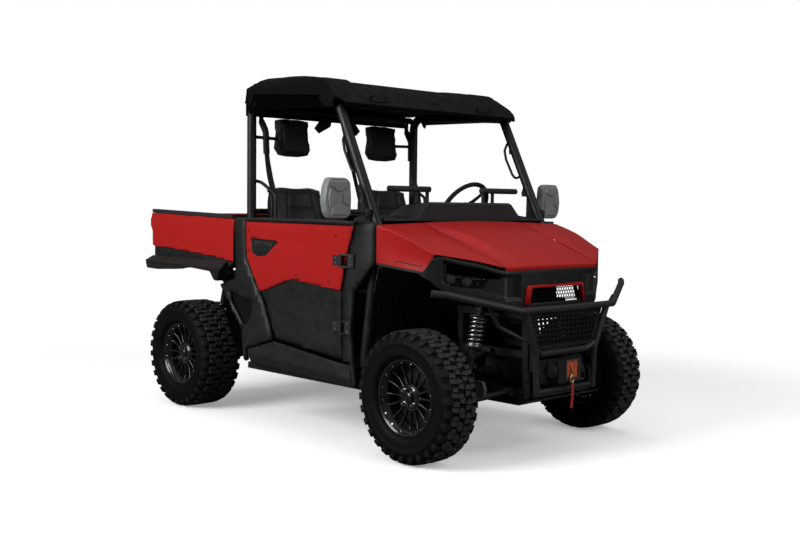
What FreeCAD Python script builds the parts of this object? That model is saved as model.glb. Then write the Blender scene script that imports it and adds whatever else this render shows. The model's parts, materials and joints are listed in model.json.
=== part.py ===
# A full-size side-by-side utility vehicle, in millimetres.
# +X is forward, +Y is the driver's side and +Z is up. The origin is on the ground below the wheelbase's
# middle.
import FreeCAD, Part
import math
import os

V = FreeCAD.Vector

# Driving dimensions
wheelbase = 2030.0
tyre_radius = 330.0
tyre_outer_y = 783.0
front_tyre_width = 215.0
rear_tyre_width = 272.0
rim_radius = 190.0
rim_share = 0.40
wheel_sides = 30
body_half_width = 735.0
body_panel = 35.0
sill_height = 1186.0
ground_clearance = 282.0
half_length = 1450.0
roof_height = 1986.0
cage_tube = 54.0
frame_tube = 48.0
pin_radius = 5.0
bar_tube = 42.0
move_gap = 6.0
seat_gap = 0.2
fit_gap = 0.05

# Places that follow from them
end_reach = half_length - wheelbase / 2
end_share = end_reach / 435
cowl_x = 757.0
nose_x = half_length - 105
cage_y = body_half_width - 80
tub_half_width = body_half_width - 119
sill_rail_y = cage_y - 27
front_axle = wheelbase / 2
rear_axle = -wheelbase / 2
front_wheel_y = tyre_outer_y - front_tyre_width / 2
rear_wheel_y = tyre_outer_y - rear_tyre_width / 2
panel_in = body_half_width - body_panel
rail_z = ground_clearance + 8 + frame_tube / 2
rail_y = 262.0
front_rail_y = 170.0
rear_rail_y = 190.0
arm_long = 200 * end_share
arm_short = 120.0
rear_post_x = rear_axle - 267 * end_share
shock_reach = 95 * end_share
shock_x = front_axle + shock_reach
shock_foot_y = 428.0
shock_foot_z = 330.0
rack_x = front_axle - 125
rack_z = 400.0
rack_radius = 12.0
kingpin_y = 560.0
rear_joint_y = 496.0
lower_joint_z = 262.0
upper_joint_z = 430.0
joint_half = 26.0
hub_bore = 32.0
spindle_radius = hub_bore - fit_gap
door_axis = (520.0, body_half_width + 16.0)
bed_front = -498.0
bed_rear = 59 - half_length
bed_axis = (rear_axle - 285 * end_share, 868.0)
tailgate_axis = (bed_rear - 13, 894.5)
hood_axis = (cowl_x + 28, sill_height - 38)
wheel_centre = (330.0, 375.0, sill_height + 59)
column_tilt = 32.0


# Heights on the doors and panels are given for a sill at 1186 and stretch with it above the floor.
def body_z(z):
    return z + (z - 448) * (sill_height - 1186) / 738 if z > 448 else z


# Lengths on the hood and the nose are given for a nose at 1345 and stretch from the cowl.
def front_x(x):
    return cowl_x + (x - cowl_x) * (nose_x - cowl_x) / 588


# Widths on the nose stretch outside the grille with the body.
def nose_y(y):
    return y + (y - 366) * (body_half_width - 735) / 284 if y > 366 else y


# Distances from the front axle towards the nose, and from the rear axle towards the tail.
def ahead_x(reach):
    return front_axle + reach * end_share


def behind_x(reach):
    return rear_axle - reach * end_share


hinge_heights = (body_z(976.0), body_z(630.0))


def raised(outline):
    return [(x, body_z(z)) for x, z in outline]


def block(x0, x1, y0, y1, z0, z1):
    return Part.makeBox(x1 - x0, y1 - y0, z1 - z0, V(x0, y0, z0))


# An outline of (x, z) points pulled along Y.
def side_plate(outline, y0, y1):
    points = [V(x, y0, z) for x, z in outline]
    face = Part.Face(Part.makePolygon(points + points[:1]))
    return face.extrude(V(0, y1 - y0, 0))


# An outline of (y, z) points pulled along X.
def cross_plate(outline, x0, x1):
    points = [V(x0, y, z) for y, z in outline]
    face = Part.Face(Part.makePolygon(points + points[:1]))
    return face.extrude(V(x1 - x0, 0, 0))


# An outline of (x, y) points pulled along Z.
def flat_plate(outline, z0, z1):
    points = [V(x, y, z0) for x, y in outline]
    face = Part.Face(Part.makePolygon(points + points[:1]))
    return face.extrude(V(0, 0, z1 - z0))


def flip(shape):
    return shape.mirror(V(0, 0, 0), V(0, 1, 0))


def fuse(shapes):
    whole = shapes[0]
    if len(shapes) > 1:
        whole = whole.fuse(shapes[1:])
    return whole.removeSplitter()


def group(shapes):
    solids = []
    for shape in shapes:
        solids.extend(shape.Solids)
    return Part.Compound(solids)


def both_sides(shape):
    return group([shape, flip(shape)])


def rod(start, end, radius):
    a = V(*start)
    b = V(*end)
    return Part.makeCylinder(radius, (b - a).Length, a, b - a)


# A round bar along a route, with each corner bent to a radius.
def bent_bar(route, radius, bend):
    points = [V(*p) for p in route]
    edges = []
    start = points[0]
    for before, corner, after in zip(points, points[1:], points[2:]):
        back = (before - corner).normalize()
        ahead = (after - corner).normalize()
        half = back.getAngle(ahead) / 2
        reach = bend / math.tan(half)
        arc_in = corner + back * reach
        arc_out = corner + ahead * reach
        middle = (back + ahead).normalize()
        arc_mid = corner + middle * (bend / math.sin(half) - bend)
        edges.append(Part.makeLine(start, arc_in))
        edges.append(Part.Arc(arc_in, arc_mid, arc_out).toShape())
        start = arc_out
    edges.append(Part.makeLine(start, points[-1]))
    path = Part.Wire(edges)
    ring = Part.Wire(Part.makeCircle(radius, points[0], points[1] - points[0]))
    return path.makePipeShell([ring], True, True)


# Rings of flat-sided polygons around the Y axis, joined by flat faces. Each ring is (radius, y).
def faceted_ring(rings, sides, closed=True):
    corners = []
    for radius, y in rings:
        ring = []
        for n in range(sides):
            angle = 2 * math.pi * n / sides
            ring.append(V(radius * math.cos(angle), y, radius * math.sin(angle)))
        corners.append(ring)
    faces = []
    count = len(rings)
    spans = count if closed else count - 1
    for k in range(spans):
        low = corners[k]
        high = corners[(k + 1) % count]
        for n in range(sides):
            m = (n + 1) % sides
            quad = [low[n], low[m], high[m], high[n], low[n]]
            faces.append(Part.Face(Part.makePolygon(quad)))
    if not closed:
        faces.append(Part.Face(Part.makePolygon(corners[0] + corners[0][:1])))
        faces.append(Part.Face(Part.makePolygon(corners[-1] + corners[-1][:1])))
    solid = Part.Solid(Part.Shell(faces))
    if solid.Volume < 0:
        solid.reverse()
    return solid


# Chassis


def make_frame_rails():
    half = frame_tube / 2
    parts = []
    for side in (-1, 1):
        y = side * rail_y
        parts.append(block(rear_axle + 375, front_axle - 195, y - half, y + half, rail_z - half,
                           rail_z + half))
    for x in (rear_axle + 415, -120, 360, front_axle - 225):
        parts.append(block(x - half, x + half, -rail_y, rail_y, rail_z - half, rail_z + half))
    for x in (-395, 120, 500):
        for side in (-1, 1):
            reach = side * (sill_rail_y - 16)
            y0, y1 = sorted((side * rail_y, reach))
            parts.append(block(x - 20, x + 20, y0, y1, rail_z - 16, rail_z + 20))
    for side in (-1, 1):
        y = side * sill_rail_y
        parts.append(block(-440, 622, y - 18, y + 18, rail_z - 16, rail_z + 20))
    return fuse(parts)


# The front subframe holds the arms, the shocks' tops, the differential and the bull bar's feet.
def make_front_subframe():
    half = frame_tube / 2
    x0, x1 = front_axle - 195 + seat_gap, ahead_x(315)
    y = front_rail_y
    parts = []
    for side in (-1, 1):
        s = side * y
        parts.append(block(x0, x1, s - half, s + half, rail_z - half, rail_z + half))
        parts.append(block(x0, x1, s - 18, s + 18, 700, 736))
        parts.append(block(x0, ahead_x(275), s - 18, s + 18, 502, 538))
        for x in (front_axle - 170, ahead_x(275)):
            parts.append(block(x - 18, x + 18, s - 18, s + 18, rail_z, 720))
        y0, y1 = sorted((side * y, side * 316))
        parts.append(block(shock_x - 30, shock_x + 30, y0, y1, 762, 774))
        for x in (shock_x - 22.3, shock_x + 16.3):
            ear = sorted((side * y, side * 340))
            parts.append(block(x, x + 6, ear[0], ear[1], 726, 768))
        low = sorted((side * (y - half), side * (rail_y + half)))
        parts.append(block(x0, x0 + 40, low[0], low[1], rail_z - half, rail_z + half))
        for x in (front_axle + arm_long, front_axle - arm_short):
            pad = sorted((side * (y + half - 1), side * (y + half + 5.8)))
            parts.append(block(x - 20, x + 20, pad[0], pad[1], 316, 338))
        foot_x, face_x = ahead_x(275), ahead_x(347)
        rise = [(foot_x, 300), (face_x, 300), (face_x, 640), (ahead_x(325), 700), (foot_x, 700)]
        parts.append(side_plate(rise, s - 6, s + 6))
        guide = sorted((side * 100, side * 130))
        parts.append(block(rack_x - 45, rack_x + 24, guide[0], guide[1], rack_z - 26, rack_z + 26))
    for x in (x0 + 20, x1 - 20):
        parts.append(block(x - 20, x + 20, -y, y, rail_z - 20, rail_z + 20))
        parts.append(block(x - 20, x + 20, -y, y, 700, 736))
    parts.append(block(rack_x - 58, rack_x - 32, -y, y, rack_z - 16, rack_z + 16))
    whole = fuse(parts)
    return whole.cut(rod((rack_x, -140, rack_z), (rack_x, 140, rack_z), rack_radius + fit_gap))


# The rear subframe holds the drive unit, the arms, the shocks' tops, the bed's hinge and the tow receiver.
def make_rear_subframe():
    half = frame_tube / 2
    x1, x0 = rear_axle + 375 - seat_gap, behind_x(285)
    post_x = rear_post_x
    y = rear_rail_y
    parts = []
    for side in (-1, 1):
        s = side * y
        parts.append(block(x0, x1, s - half, s + half, rail_z - half, rail_z + half))
        parts.append(block(x0 - 18, x1, s - 18, s + 18, 780, 816))
        parts.append(block(post_x, x1, s - 18, s + 18, 542, 578))
        for x in (rear_axle + 325, post_x):
            parts.append(block(x - 18, x + 18, s - 18, s + 18, rail_z, 800))
        for x in (-shock_x - 22.3, -shock_x + 16.3):
            ear = sorted((side * y, side * 360))
            parts.append(block(x, x + 6, ear[0], ear[1], 755, 800))
        low = sorted((side * (y - half), side * (rail_y + half)))
        parts.append(block(x1 - 46, x1, low[0], low[1], rail_z - half, rail_z + half))
        for x in (rear_axle - arm_long, rear_axle + arm_short):
            pad = sorted((side * (y + half - 1), side * (y + half + 5.8)))
            parts.append(block(x - 20, x + 20, pad[0], pad[1], 316, 338))
        ear = side_plate([(x0 - 25, 816), (x0 + 25, 816), (x0 + 16, 874), (x0 + 9, 885), (x0 - 9, 885),
                          (x0 - 16, 874)],
                         s - 18, s - 8)
        parts.extend([ear, ear.translated(V(0, 26, 0))])
        parts.append(rod((bed_axis[0], s - 18, bed_axis[1]), (bed_axis[0], s + 18, bed_axis[1]), 8))
    for x in (x1 - 20, post_x):
        parts.append(block(x - 20, x + 20, -y, y, rail_z - 20, rail_z + 20))
        parts.append(block(x - 20, x + 20, -y, y, 780, 816))
    return fuse(parts)


# A square socket for a tow bar, hung below the rear cross tube, with a cross hole for its pin.
def make_tow_receiver():
    wall = 6.5
    half = 32
    low = 345
    x1 = rear_post_x - 20 - seat_gap
    tube = block(-half_length, x1 - 2, -half, half, low, low + 2 * half)
    socket = block(-half_length - 1, x1 - 8, -half + wall, half - wall, low + wall, low + 2 * half - wall)
    pin_z = low + half
    pin_hole = rod((-half_length + 45, -half - 5, pin_z), (-half_length + 45, half + 5, pin_z), 8)
    flange = block(x1 - 6, x1, -96, 96, 300, low + 2 * half + 20)
    return fuse([tube.cut(socket), flange]).cut(pin_hole)


def make_skid_plate():
    low = ground_clearance
    top = low + 8 - seat_gap
    tail, bend, nose = behind_x(225), ahead_x(320), ahead_x(385)
    outline = [(tail, low), (bend, low), (nose, low + 22), (nose, low + 30), (bend - 1, top), (tail, top)]
    return side_plate(outline, -285, 285)


def make_battery_pack():
    return block(-400, 60, -230, 230, rail_z + frame_tube / 2 + seat_gap, 560)


def make_rear_drive_unit():
    case = block(rear_axle - 105, rear_axle + 115, -150, 120, 352, 560)
    motor = rod((rear_axle + 115, -40, 470), (rear_axle + 275, -40, 470), 105)
    outputs = rod((rear_axle, -165, 400), (rear_axle, 165, 400), 46)
    foot_z = rail_z + frame_tube / 2 + seat_gap
    feet = [block(x, x + 30, -210, 210, foot_z, 356) for x in (rear_axle - 95, rear_axle + 55)]
    return fuse([case, motor, outputs] + feet)


def make_front_differential():
    case = block(front_axle - 75, front_axle + 75, -90, 90, 352, 480)
    outputs = rod((front_axle, -130, 400), (front_axle, 130, 400), 42)
    foot_z = rail_z + frame_tube / 2 + seat_gap
    feet = [block(x, x + 30, -190, 190, foot_z, 356) for x in (front_axle - 70, front_axle + 40)]
    return fuse([case, outputs] + feet)


# Half shafts with their boots and the long shaft to the front.
def make_drive_shafts():
    parts = []
    ends = ((front_axle, 130 + seat_gap, 518), (rear_axle, 165 + seat_gap, rear_joint_y - 12))
    for x, inner_y, outer_y in ends:
        inner = (x, inner_y + 20, 400)
        outer = (x, outer_y - 20, 336)
        half = fuse([rod(inner, outer, 14), rod((x, inner_y, 400), inner, 30),
                     rod(outer, (x, outer_y, 336), 30),
                     rod(inner, (x, inner_y + 60, 400 - 64 * 40 / (outer_y - inner_y - 40)), 34),
                     rod((x, outer_y - 60, 336 + 64 * 40 / (outer_y - inner_y - 40)), outer, 34)])
        parts.extend([half, flip(half)])
    return group(parts)


# A wishbone: two legs from the frame's pivots to the outer joint, with a tie and a seat for the shock.
def wishbone(axle, ahead, behind, pivot, outer, radius, seat=0, seat_share=0.0):
    pivot_y, pivot_z = pivot
    outer_y, outer_z = outer

    def along(x_reach, share):
        x = axle + x_reach + share * (math.copysign(20, x_reach) - x_reach)
        return (x, pivot_y + share * (outer_y - pivot_y), pivot_z + share * (outer_z - pivot_z))

    parts = [rod(along(ahead, 0), along(ahead, 1), radius),
             rod(along(-behind, 0), along(-behind, 1), radius)]
    parts.append(rod(along(ahead, 0.35), along(-behind, 0.35), radius * 0.8))
    for x in (axle + ahead, axle - behind):
        parts.append(rod((x - 24, pivot_y, pivot_z), (x + 24, pivot_y, pivot_z), radius * 1.3))
    parts.append(rod((axle, outer_y, outer_z - joint_half), (axle, outer_y, outer_z + joint_half), 26))
    if seat:
        x, y, z = along(ahead, seat_share) if seat > 0 else along(-behind, seat_share)
        x0, x1 = min(x, axle + seat - 22), max(x, axle + seat + 22)
        parts.append(block(x0, x1, y - 20, y + 20, z - 8, z + 8))
        for plate_x in (axle + seat - 22.3, axle + seat + 16.3):
            parts.append(block(plate_x, plate_x + 6, y - 20, y + 20, z, z + 62))
    return fuse(parts)


def make_front_arms():
    inner = front_rail_y + frame_tube / 2 + 6 + 17 * 1.3
    share = (shock_foot_y - inner) / (kingpin_y - inner)
    lower = wishbone(front_axle, arm_long, arm_short, (inner, 328), (kingpin_y, lower_joint_z), 17,
                     shock_reach, share)
    inner = front_rail_y + 18 + seat_gap + 14 * 1.3
    upper = wishbone(front_axle, 44, 44, (inner, 520), (kingpin_y, upper_joint_z), 14)
    return group([lower, flip(lower), upper, flip(upper)])


def make_rear_arms():
    inner = rear_rail_y + frame_tube / 2 + 6 + 18 * 1.3
    share = (shock_foot_y - inner) / (rear_joint_y - inner)
    lower = wishbone(rear_axle, arm_short, arm_long, (inner, 328), (rear_joint_y, lower_joint_z), 18,
                     -shock_reach, share)
    inner = rear_rail_y + 18 + seat_gap + 15 * 1.3
    upper = wishbone(rear_axle, 50, 50, (inner, 560), (rear_joint_y, upper_joint_z), 15)
    return group([lower, flip(lower), upper, flip(upper)])


# A coil-over shock: a waved sleeve for the coil, with the damper's body and rod through it.
def shock(top, bottom, coils):
    a = V(*top)
    b = V(*bottom)
    length = (b - a).Length
    pitch = length * 0.48 / coils
    rings = []
    for n in range(coils):
        rings.append((43, 40 + n * pitch + pitch * 0.5))
        if n < coils - 1:
            rings.append((31, 40 + (n + 1) * pitch))
    rings = [(31, 36)] + rings + [(31, 40 + coils * pitch)]
    coil = faceted_ring(rings, 12, closed=False)
    seats = [rod((0, 24, 0), (0, 38, 0), 46),
             rod((0, 38 + coils * pitch, 0), (0, 54 + coils * pitch, 0), 46)]
    damper = rod((0, 0, 0), (0, length, 0), 15)
    eyes = [rod((-16, 0, 0), (16, 0, 0), 18), rod((-16, length, 0), (16, length, 0), 18)]
    whole = fuse([coil, damper] + seats + eyes)
    turn = FreeCAD.Rotation(V(0, 1, 0), b - a)
    whole.Placement = FreeCAD.Placement(a, turn)
    return whole


def make_shocks():
    front = shock((shock_x, 326, 742), (shock_x, shock_foot_y, shock_foot_z), 7)
    rear = shock((-shock_x, 345, 770), (-shock_x, shock_foot_y, shock_foot_z), 8)
    return group([front, flip(front), rear, flip(rear)])


# The rear uprights carry the rear wheels on fixed spindles.
def make_rear_uprights():
    low = lower_joint_z + joint_half + seat_gap
    high = upper_joint_z - joint_half - seat_gap
    body = block(rear_axle - 28, rear_axle + 28, rear_joint_y - 8, rear_joint_y + 24, low, high)
    hub_face = rear_wheel_y - 60
    spindle = rod((rear_axle, rear_joint_y, tyre_radius), (rear_axle, hub_face, tyre_radius), 40)
    stub = rod((rear_axle, hub_face, tyre_radius), (rear_axle, rear_wheel_y + 62, tyre_radius),
               spindle_radius)
    return both_sides(fuse([body, spindle, stub]))


# A steered knuckle with its spindle, its kingpin boss and the arm for the tie rod.
def knuckle():
    low = lower_joint_z + joint_half + fit_gap
    high = upper_joint_z - joint_half - fit_gap
    body = block(front_axle - 25, front_axle + 25, kingpin_y - 8, kingpin_y + 24, low, high)
    pivot = rod((front_axle, kingpin_y, low), (front_axle, kingpin_y, high), 22)
    hub_face = front_wheel_y - 56
    spindle = rod((front_axle, kingpin_y, tyre_radius), (front_axle, hub_face, tyre_radius), 40)
    stub = rod((front_axle, hub_face, tyre_radius), (front_axle, front_wheel_y + 40, tyre_radius),
               spindle_radius)
    arm = flat_plate([(front_axle - 20, kingpin_y - 8), (front_axle - 20, kingpin_y + 16),
                      (rack_x - 14, kingpin_y - 3),
                      (rack_x - 14, kingpin_y - 27)], 352, 366)
    return fuse([body, pivot, spindle, stub, arm])


def make_knuckle_left():
    return knuckle()


def make_knuckle_right():
    return flip(knuckle())


# The rack bar with both tie rods. Their outer ends hang free below the knuckles' arms.
def make_tie_rods():
    end_y = kingpin_y - 21
    parts = [rod((rack_x, -230, rack_z), (rack_x, 230, rack_z), rack_radius)]
    for side in (-1, 1):
        parts.append(rod((rack_x, side * 230, rack_z), (rack_x, side * end_y, 330), 8))
        parts.append(rod((rack_x, side * end_y, 318), (rack_x, side * end_y, 345), 12))
    return fuse(parts)


# Tyres and rims


# One lug: a block that stands on the carcass between two widths.
def lug(angle, inner, outer, y0, y1, half_arc, slant):
    points = [(-half_arc, y0), (half_arc, y0), (half_arc + slant, y1), (-half_arc + slant, y1)]
    corners = [V(inner, y, x) for x, y in points]
    face = Part.Face(Part.makePolygon(corners + corners[:1]))
    piece = face.extrude(V(outer - inner, 0, 0))
    piece.rotate(V(0, 0, 0), V(0, 1, 0), angle)
    return piece


def tyre(width):
    half = width / 2
    deck = tyre_radius - 14
    seat = rim_radius - 13 + 0.3
    flange = width * rim_share - 8.3
    rings = [(seat, flange), (rim_radius + 1, flange), (rim_radius + 12, flange + 12),
             (rim_radius + 55, half * 0.97)]
    rings += [(deck - 40, half * 0.98), (deck - 10, half * 0.86), (deck, half * 0.6)]
    rings += [(r, -y) for r, y in reversed(rings)]
    carcass = faceted_ring(rings, wheel_sides)
    lugs = []
    count = 18
    for n in range(count):
        angle = 360.0 * n / count
        other = angle + 180.0 / count
        lugs.append(lug(angle, deck - 12, tyre_radius, half * 0.06, half * 0.52, 22, 12))
        lugs.append(lug(other, deck - 12, tyre_radius, -half * 0.06, -half * 0.52, 22, 12))
        lugs.append(lug(other, deck - 46, tyre_radius - 5, half * 0.6, half, 24, 6))
        lugs.append(lug(angle, deck - 46, tyre_radius - 5, -half * 0.6, -half, 24, 6))
    return fuse([carcass] + lugs)


# A wheel with a deep barrel, twin spokes, a hub and its brake disc on the inner side.
def rim(width):
    half = width * rim_share
    outer = rim_radius
    well = outer - 30
    rings = [(outer, half), (outer, half - 8), (outer - 13, half - 8), (outer - 15, half - 24),
             (well, half - 38)]
    rings += [(well, -half + 38), (outer - 15, -half + 24), (outer - 13, -half + 8), (outer, -half + 8)]
    rings += [(outer, -half), (outer - 8, -half), (outer - 20, -half + 10), (well - 6, -half + 38)]
    rings += [(well - 6, half - 40), (outer - 20, half - 14), (outer - 8, half)]
    barrel = faceted_ring(rings, wheel_sides)
    hub = rod((0, half - 88, 0), (0, half - 30, 0), 58)
    parts = [barrel, hub]
    for n in range(8):
        for lean in (-1, 1):
            outline = [(40, lean * 12 - 5), (40, lean * 12 + 5), (well - 3, lean * 16 + 6),
                       (well - 3, lean * 16 - 6)]
            points = [V(x, half - 62, z) for x, z in outline]
            spoke = Part.Face(Part.makePolygon(points + points[:1])).extrude(V(0, 26, 0))
            spoke.rotate(V(0, 0, 0), V(0, 1, 0), n * 45)
            parts.append(spoke)
    disc = rod((0, half - 128, 0), (0, half - 120, 0), 110)
    bell = rod((0, half - 128, 0), (0, half - 84, 0), 52)
    whole = fuse(parts + [disc, bell])
    bore = rod((0, half - 130, 0), (0, half - 40, 0), hub_bore)
    return whole.cut(bore)


# Cab floor, firewall, seat base and rear wall in one moulded tub.
def make_floor_tub():
    floor_z = 396
    wall_top, lip = body_z(1150), body_z(1120)
    outline = [(-470, wall_top), (-470, 640), (-440, 640), (-440, 790), (100, 790), (130, 760),
               (130, floor_z + 6)]
    outline += [(520, floor_z + 6), (640, 520), (660, 900), (660, lip), (666, lip), (666, 896)]
    outline += [(647, 512), (524, floor_z), (124, floor_z), (124, 756), (97, 784), (-434, 784)]
    outline += [(-434, 634), (-476, 634), (-476, wall_top)]
    tub = side_plate(outline, -tub_half_width, tub_half_width)
    rail_top = rail_z + frame_tube / 2 + seat_gap
    ribs = [block(x, x + 30, -286, 286, rail_top, floor_z) for x in (200, 440)]
    return fuse([tub] + ribs)


# A panel under the door, with a light upper band and a chamfered lower edge.
def make_rocker_panels():
    outline = [(-345, 346), (-352, 420), (-92, 495), (490, 436), (562, 436), (577, 330), (560, 312)]
    panel = side_plate(outline, body_half_width - 83, body_half_width - 12)
    hollow = side_plate([(-320, 340), (-320, 400), (-85, 470), (540, 410), (545, 322), (480, 300)],
                        body_half_width - 95, panel_in)
    panel = panel.cut(hollow)
    hangers = [block(x, x + 40, sill_rail_y + 18 + seat_gap, panel_in + 4, 318, 345) for x in (60, 400)]
    return both_sides(fuse([panel] + hangers))


def make_rear_cab_panels():
    outline = [(-470, 1188), (-462, 977), (-458, 900), (-468, 828), (-618, 782), (-396, 531), (-386, 363),
               (-358, 352)]
    outline += [(-358, 424), (-100, 503), (-114, 556), (-190, 720), (-229, 765), (-346, 950), (-356, 1188)]
    panel = side_plate(raised(outline), panel_in, body_half_width - 4)
    intake = side_plate(raised([(-520, 756), (-290, 706), (-290, 650), (-340, 575), (-385, 570),
                                (-500, 695)]),
                        panel_in + 8, body_half_width)
    inner = cage_y + cage_tube / 2 + seat_gap
    pads = [block(-405, -385, inner, panel_in + 2, z, z + 50) for z in (480, body_z(1050))]
    return both_sides(fuse([panel.cut(intake)] + pads))


def make_cowl_side_panels():
    outline = [(620, 1180), (604, 1146), (544, 969), (506, 812), (510, 446), (570, 446), (585, 320),
               (602, 320)]
    outline += [(581, 621), (595, 811), (751, 978), (748, 1180)]
    parts = [side_plate(raised(outline), panel_in, body_half_width - 4)]
    tube_side = cage_y + cage_tube / 2 + seat_gap
    parts.append(block(664, 674, tube_side, panel_in + 2, body_z(880), body_z(930)))
    hinge_x, hinge_y = door_axis
    for z in hinge_heights:
        leaf_x = 558 if z == hinge_heights[0] else 537
        parts.append(block(leaf_x, leaf_x + 50, body_half_width - 5, body_half_width + 6, z - 36, z + 36))
        for low in (z - 36, z + 26.3):
            arm = flat_plate([(hinge_x - 9, hinge_y - 9), (leaf_x - 4, hinge_y - 9),
                              (leaf_x + 4, body_half_width),
                              (leaf_x + 14, body_half_width + 5), (hinge_x + 4, hinge_y + 10),
                              (hinge_x - 9, hinge_y + 8)], low, low + 9.7)
            parts.append(arm)
        parts.append(rod((hinge_x, hinge_y, z - 36), (hinge_x, hinge_y, z + 36), pin_radius))
    return both_sides(fuse(parts))


# Doors


def door_outline(shrink):
    s = shrink
    outline = [(-349 + s, 1186), (-338 + s, 953), (-221 + s, 765), (-182 + s, 722), (-106 + s, 560)]
    outline += [(-76 + s, 508), (502 - s, 448), (498 - s, 812), (536 - s, 969), (596 - s, 1146)]
    outline += [(612 - s, 1178)]
    return raised(outline)


# The black shell is the whole door's thickness; the red skin lies on its upper outer half.
def door_shell():
    skin = 12
    shell = side_plate(door_outline(0), panel_in - 8, body_half_width - 8)
    top = side_plate(raised([(-349, 1164), (600, 1156), (610, 1178), (-349, 1186)]), body_half_width - 9,
                     body_half_width + 3)
    pull = side_plate(raised([(-290, 1069), (-44, 1052), (-146, 976), (-222, 968), (-280, 990)]),
                      body_half_width - 9, body_half_width - 3)
    hinge_x, hinge_y = door_axis
    parts = [shell, top, pull]
    bores = []
    for z in hinge_heights:
        parts.append(block(hinge_x - 78, hinge_x - 26, body_half_width - 9, body_half_width + 4, z - 26,
                           z + 26))
        leaf = flat_plate([(hinge_x - 40, body_half_width - 4), (hinge_x - 26, body_half_width - 4),
                           (hinge_x, hinge_y - 8), (hinge_x, hinge_y + 8), (hinge_x - 8, hinge_y + 8),
                           (hinge_x - 40, body_half_width + 4)], z - 26, z + 26)
        parts.append(leaf)
        parts.append(rod((hinge_x, hinge_y, z - 26), (hinge_x, hinge_y, z + 26), 11))
        bores.append(rod((hinge_x, hinge_y, z - 30), (hinge_x, hinge_y, z + 30), pin_radius + fit_gap))
    return fuse(parts).cut(Part.Compound(bores))


def door_skin():
    outline = [(-346, 1163), (-335, 953), (-219, 769), (-180, 772), (66, 852), (128, 850)]
    outline += [(317, 829), (496, 814), (533, 969), (593, 1146), (604, 1155)]
    skin = side_plate(raised(outline), body_half_width - 7.7, body_half_width)
    pull = side_plate(raised([(-296, 1075), (-36, 1056), (-144, 970), (-224, 962), (-286, 985)]),
                      body_half_width - 9, body_half_width + 3)
    hinge_x = door_axis[0]
    upper_hinge = block(hinge_x - 80, hinge_x + 60, body_half_width - 9, body_half_width + 6,
                        hinge_heights[0] - 30, hinge_heights[0] + 30)
    return skin.cut(pull).cut(upper_hinge)


def make_door_left_shell():
    return door_shell()


def make_door_right_shell():
    return flip(door_shell())


def make_door_left_skin():
    return door_skin()


def make_door_right_skin():
    return flip(door_skin())


# Front body


# The red front shell's outline across the car at one station: centre height, edge height, half width, lip
# height.
def shell_section(x, centre, shoulder, edge, half_width, lip, shrink):
    s = shrink
    points = [(-half_width + s, lip), (-half_width + s, edge - s), (-half_width + 60, edge + 4 - s)]
    points += [(-385, shoulder - s), (0, centre - s), (385, shoulder - s)]
    points += [(half_width - 60, edge + 4 - s), (half_width - s, edge - s), (half_width - s, lip)]
    wire = Part.makePolygon([V(x, y, z) for y, z in points + points[:1]])
    return wire


def front_shell():
    lip = 700
    given = [(757, 1186, 1180, 1167, 13), (940, 1138, 1122, 1100, 35), (1115, 1072, 1055, 1031, 71),
             (1313, 985, 967, 930, 95), (1345, 968, 950, 912, 95)]
    stations = []
    for x, centre, shoulder, edge, narrower in given:
        stations.append((front_x(x), body_z(centre), body_z(shoulder), body_z(edge),
                         body_half_width - narrower))
    outer = Part.makeLoft([shell_section(x, c, s, e, w, lip, 0) for x, c, s, e, w in stations], True, True)
    inner = Part.makeLoft([shell_section(x, c, s, e, w, lip, 5) for x, c, s, e, w in stations], True, True)
    inner = inner.cut(block(cowl_x - 57, cowl_x, -1200, 1200, 500, 1700))
    shell = outer.cut(inner)
    wide, narrow = body_half_width - 13, body_half_width - 71
    plan = [(700, -wide), (front_x(1100), -wide), (front_x(1115), -narrow), (front_x(1313), -371)]
    plan += [(front_x(1335), 0), (front_x(1313), 371), (front_x(1115), narrow), (front_x(1100), wide),
             (700, wide)]
    nose = flat_plate(plan, 500, 1700)
    return shell.common(nose)


def make_hood():
    shell = front_shell()
    plan = [(cowl_x + 1, -395), (front_x(1400), -366), (front_x(1400), 366), (cowl_x + 1, 395)]
    panel = shell.common(flat_plate(plan, 500, 1700))
    axis_x, axis_z = hood_axis
    parts = [panel]
    for side in (-1, 1):
        y = side * 340
        ear = side_plate([(axis_x - 12, axis_z - 8), (axis_x - 4, axis_z - 12), (axis_x + 8, axis_z - 10),
                          (axis_x + 60, axis_z - 2), (axis_x + 60, axis_z + 8), (axis_x - 12,
                                                                                 axis_z + 29)], y - 6, y + 6)
        parts.append(ear)
    bore = rod((axis_x, -400, axis_z), (axis_x, 400, axis_z), pin_radius + fit_gap)
    return fuse(parts).cut(bore)


def make_front_fenders():
    shell = front_shell()
    plan = [(cowl_x + 1, 401), (front_x(1400), 372), (front_x(1400), 1200), (cowl_x + 1, 1200)]
    side = shell.common(flat_plate(plan, 500, 1700))
    outline = [(700, 976), (712, 976), (911, 951), (1058, 934), (1115, 1031), (1200, 1004), (1313, 967),
               (1400, 940),
               (1400, 500), (700, 500)]
    arch = side_plate([(front_x(x), body_z(z)) for x, z in outline], 0, 1200)
    return both_sides(side.cut(arch))


lamp_outline = [(412, 905), (440, 862), (590, 868), (680, 905), (640, 935), (420, 915)]
lamp_outline = [(nose_y(y), body_z(z)) for y, z in lamp_outline]


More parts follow.
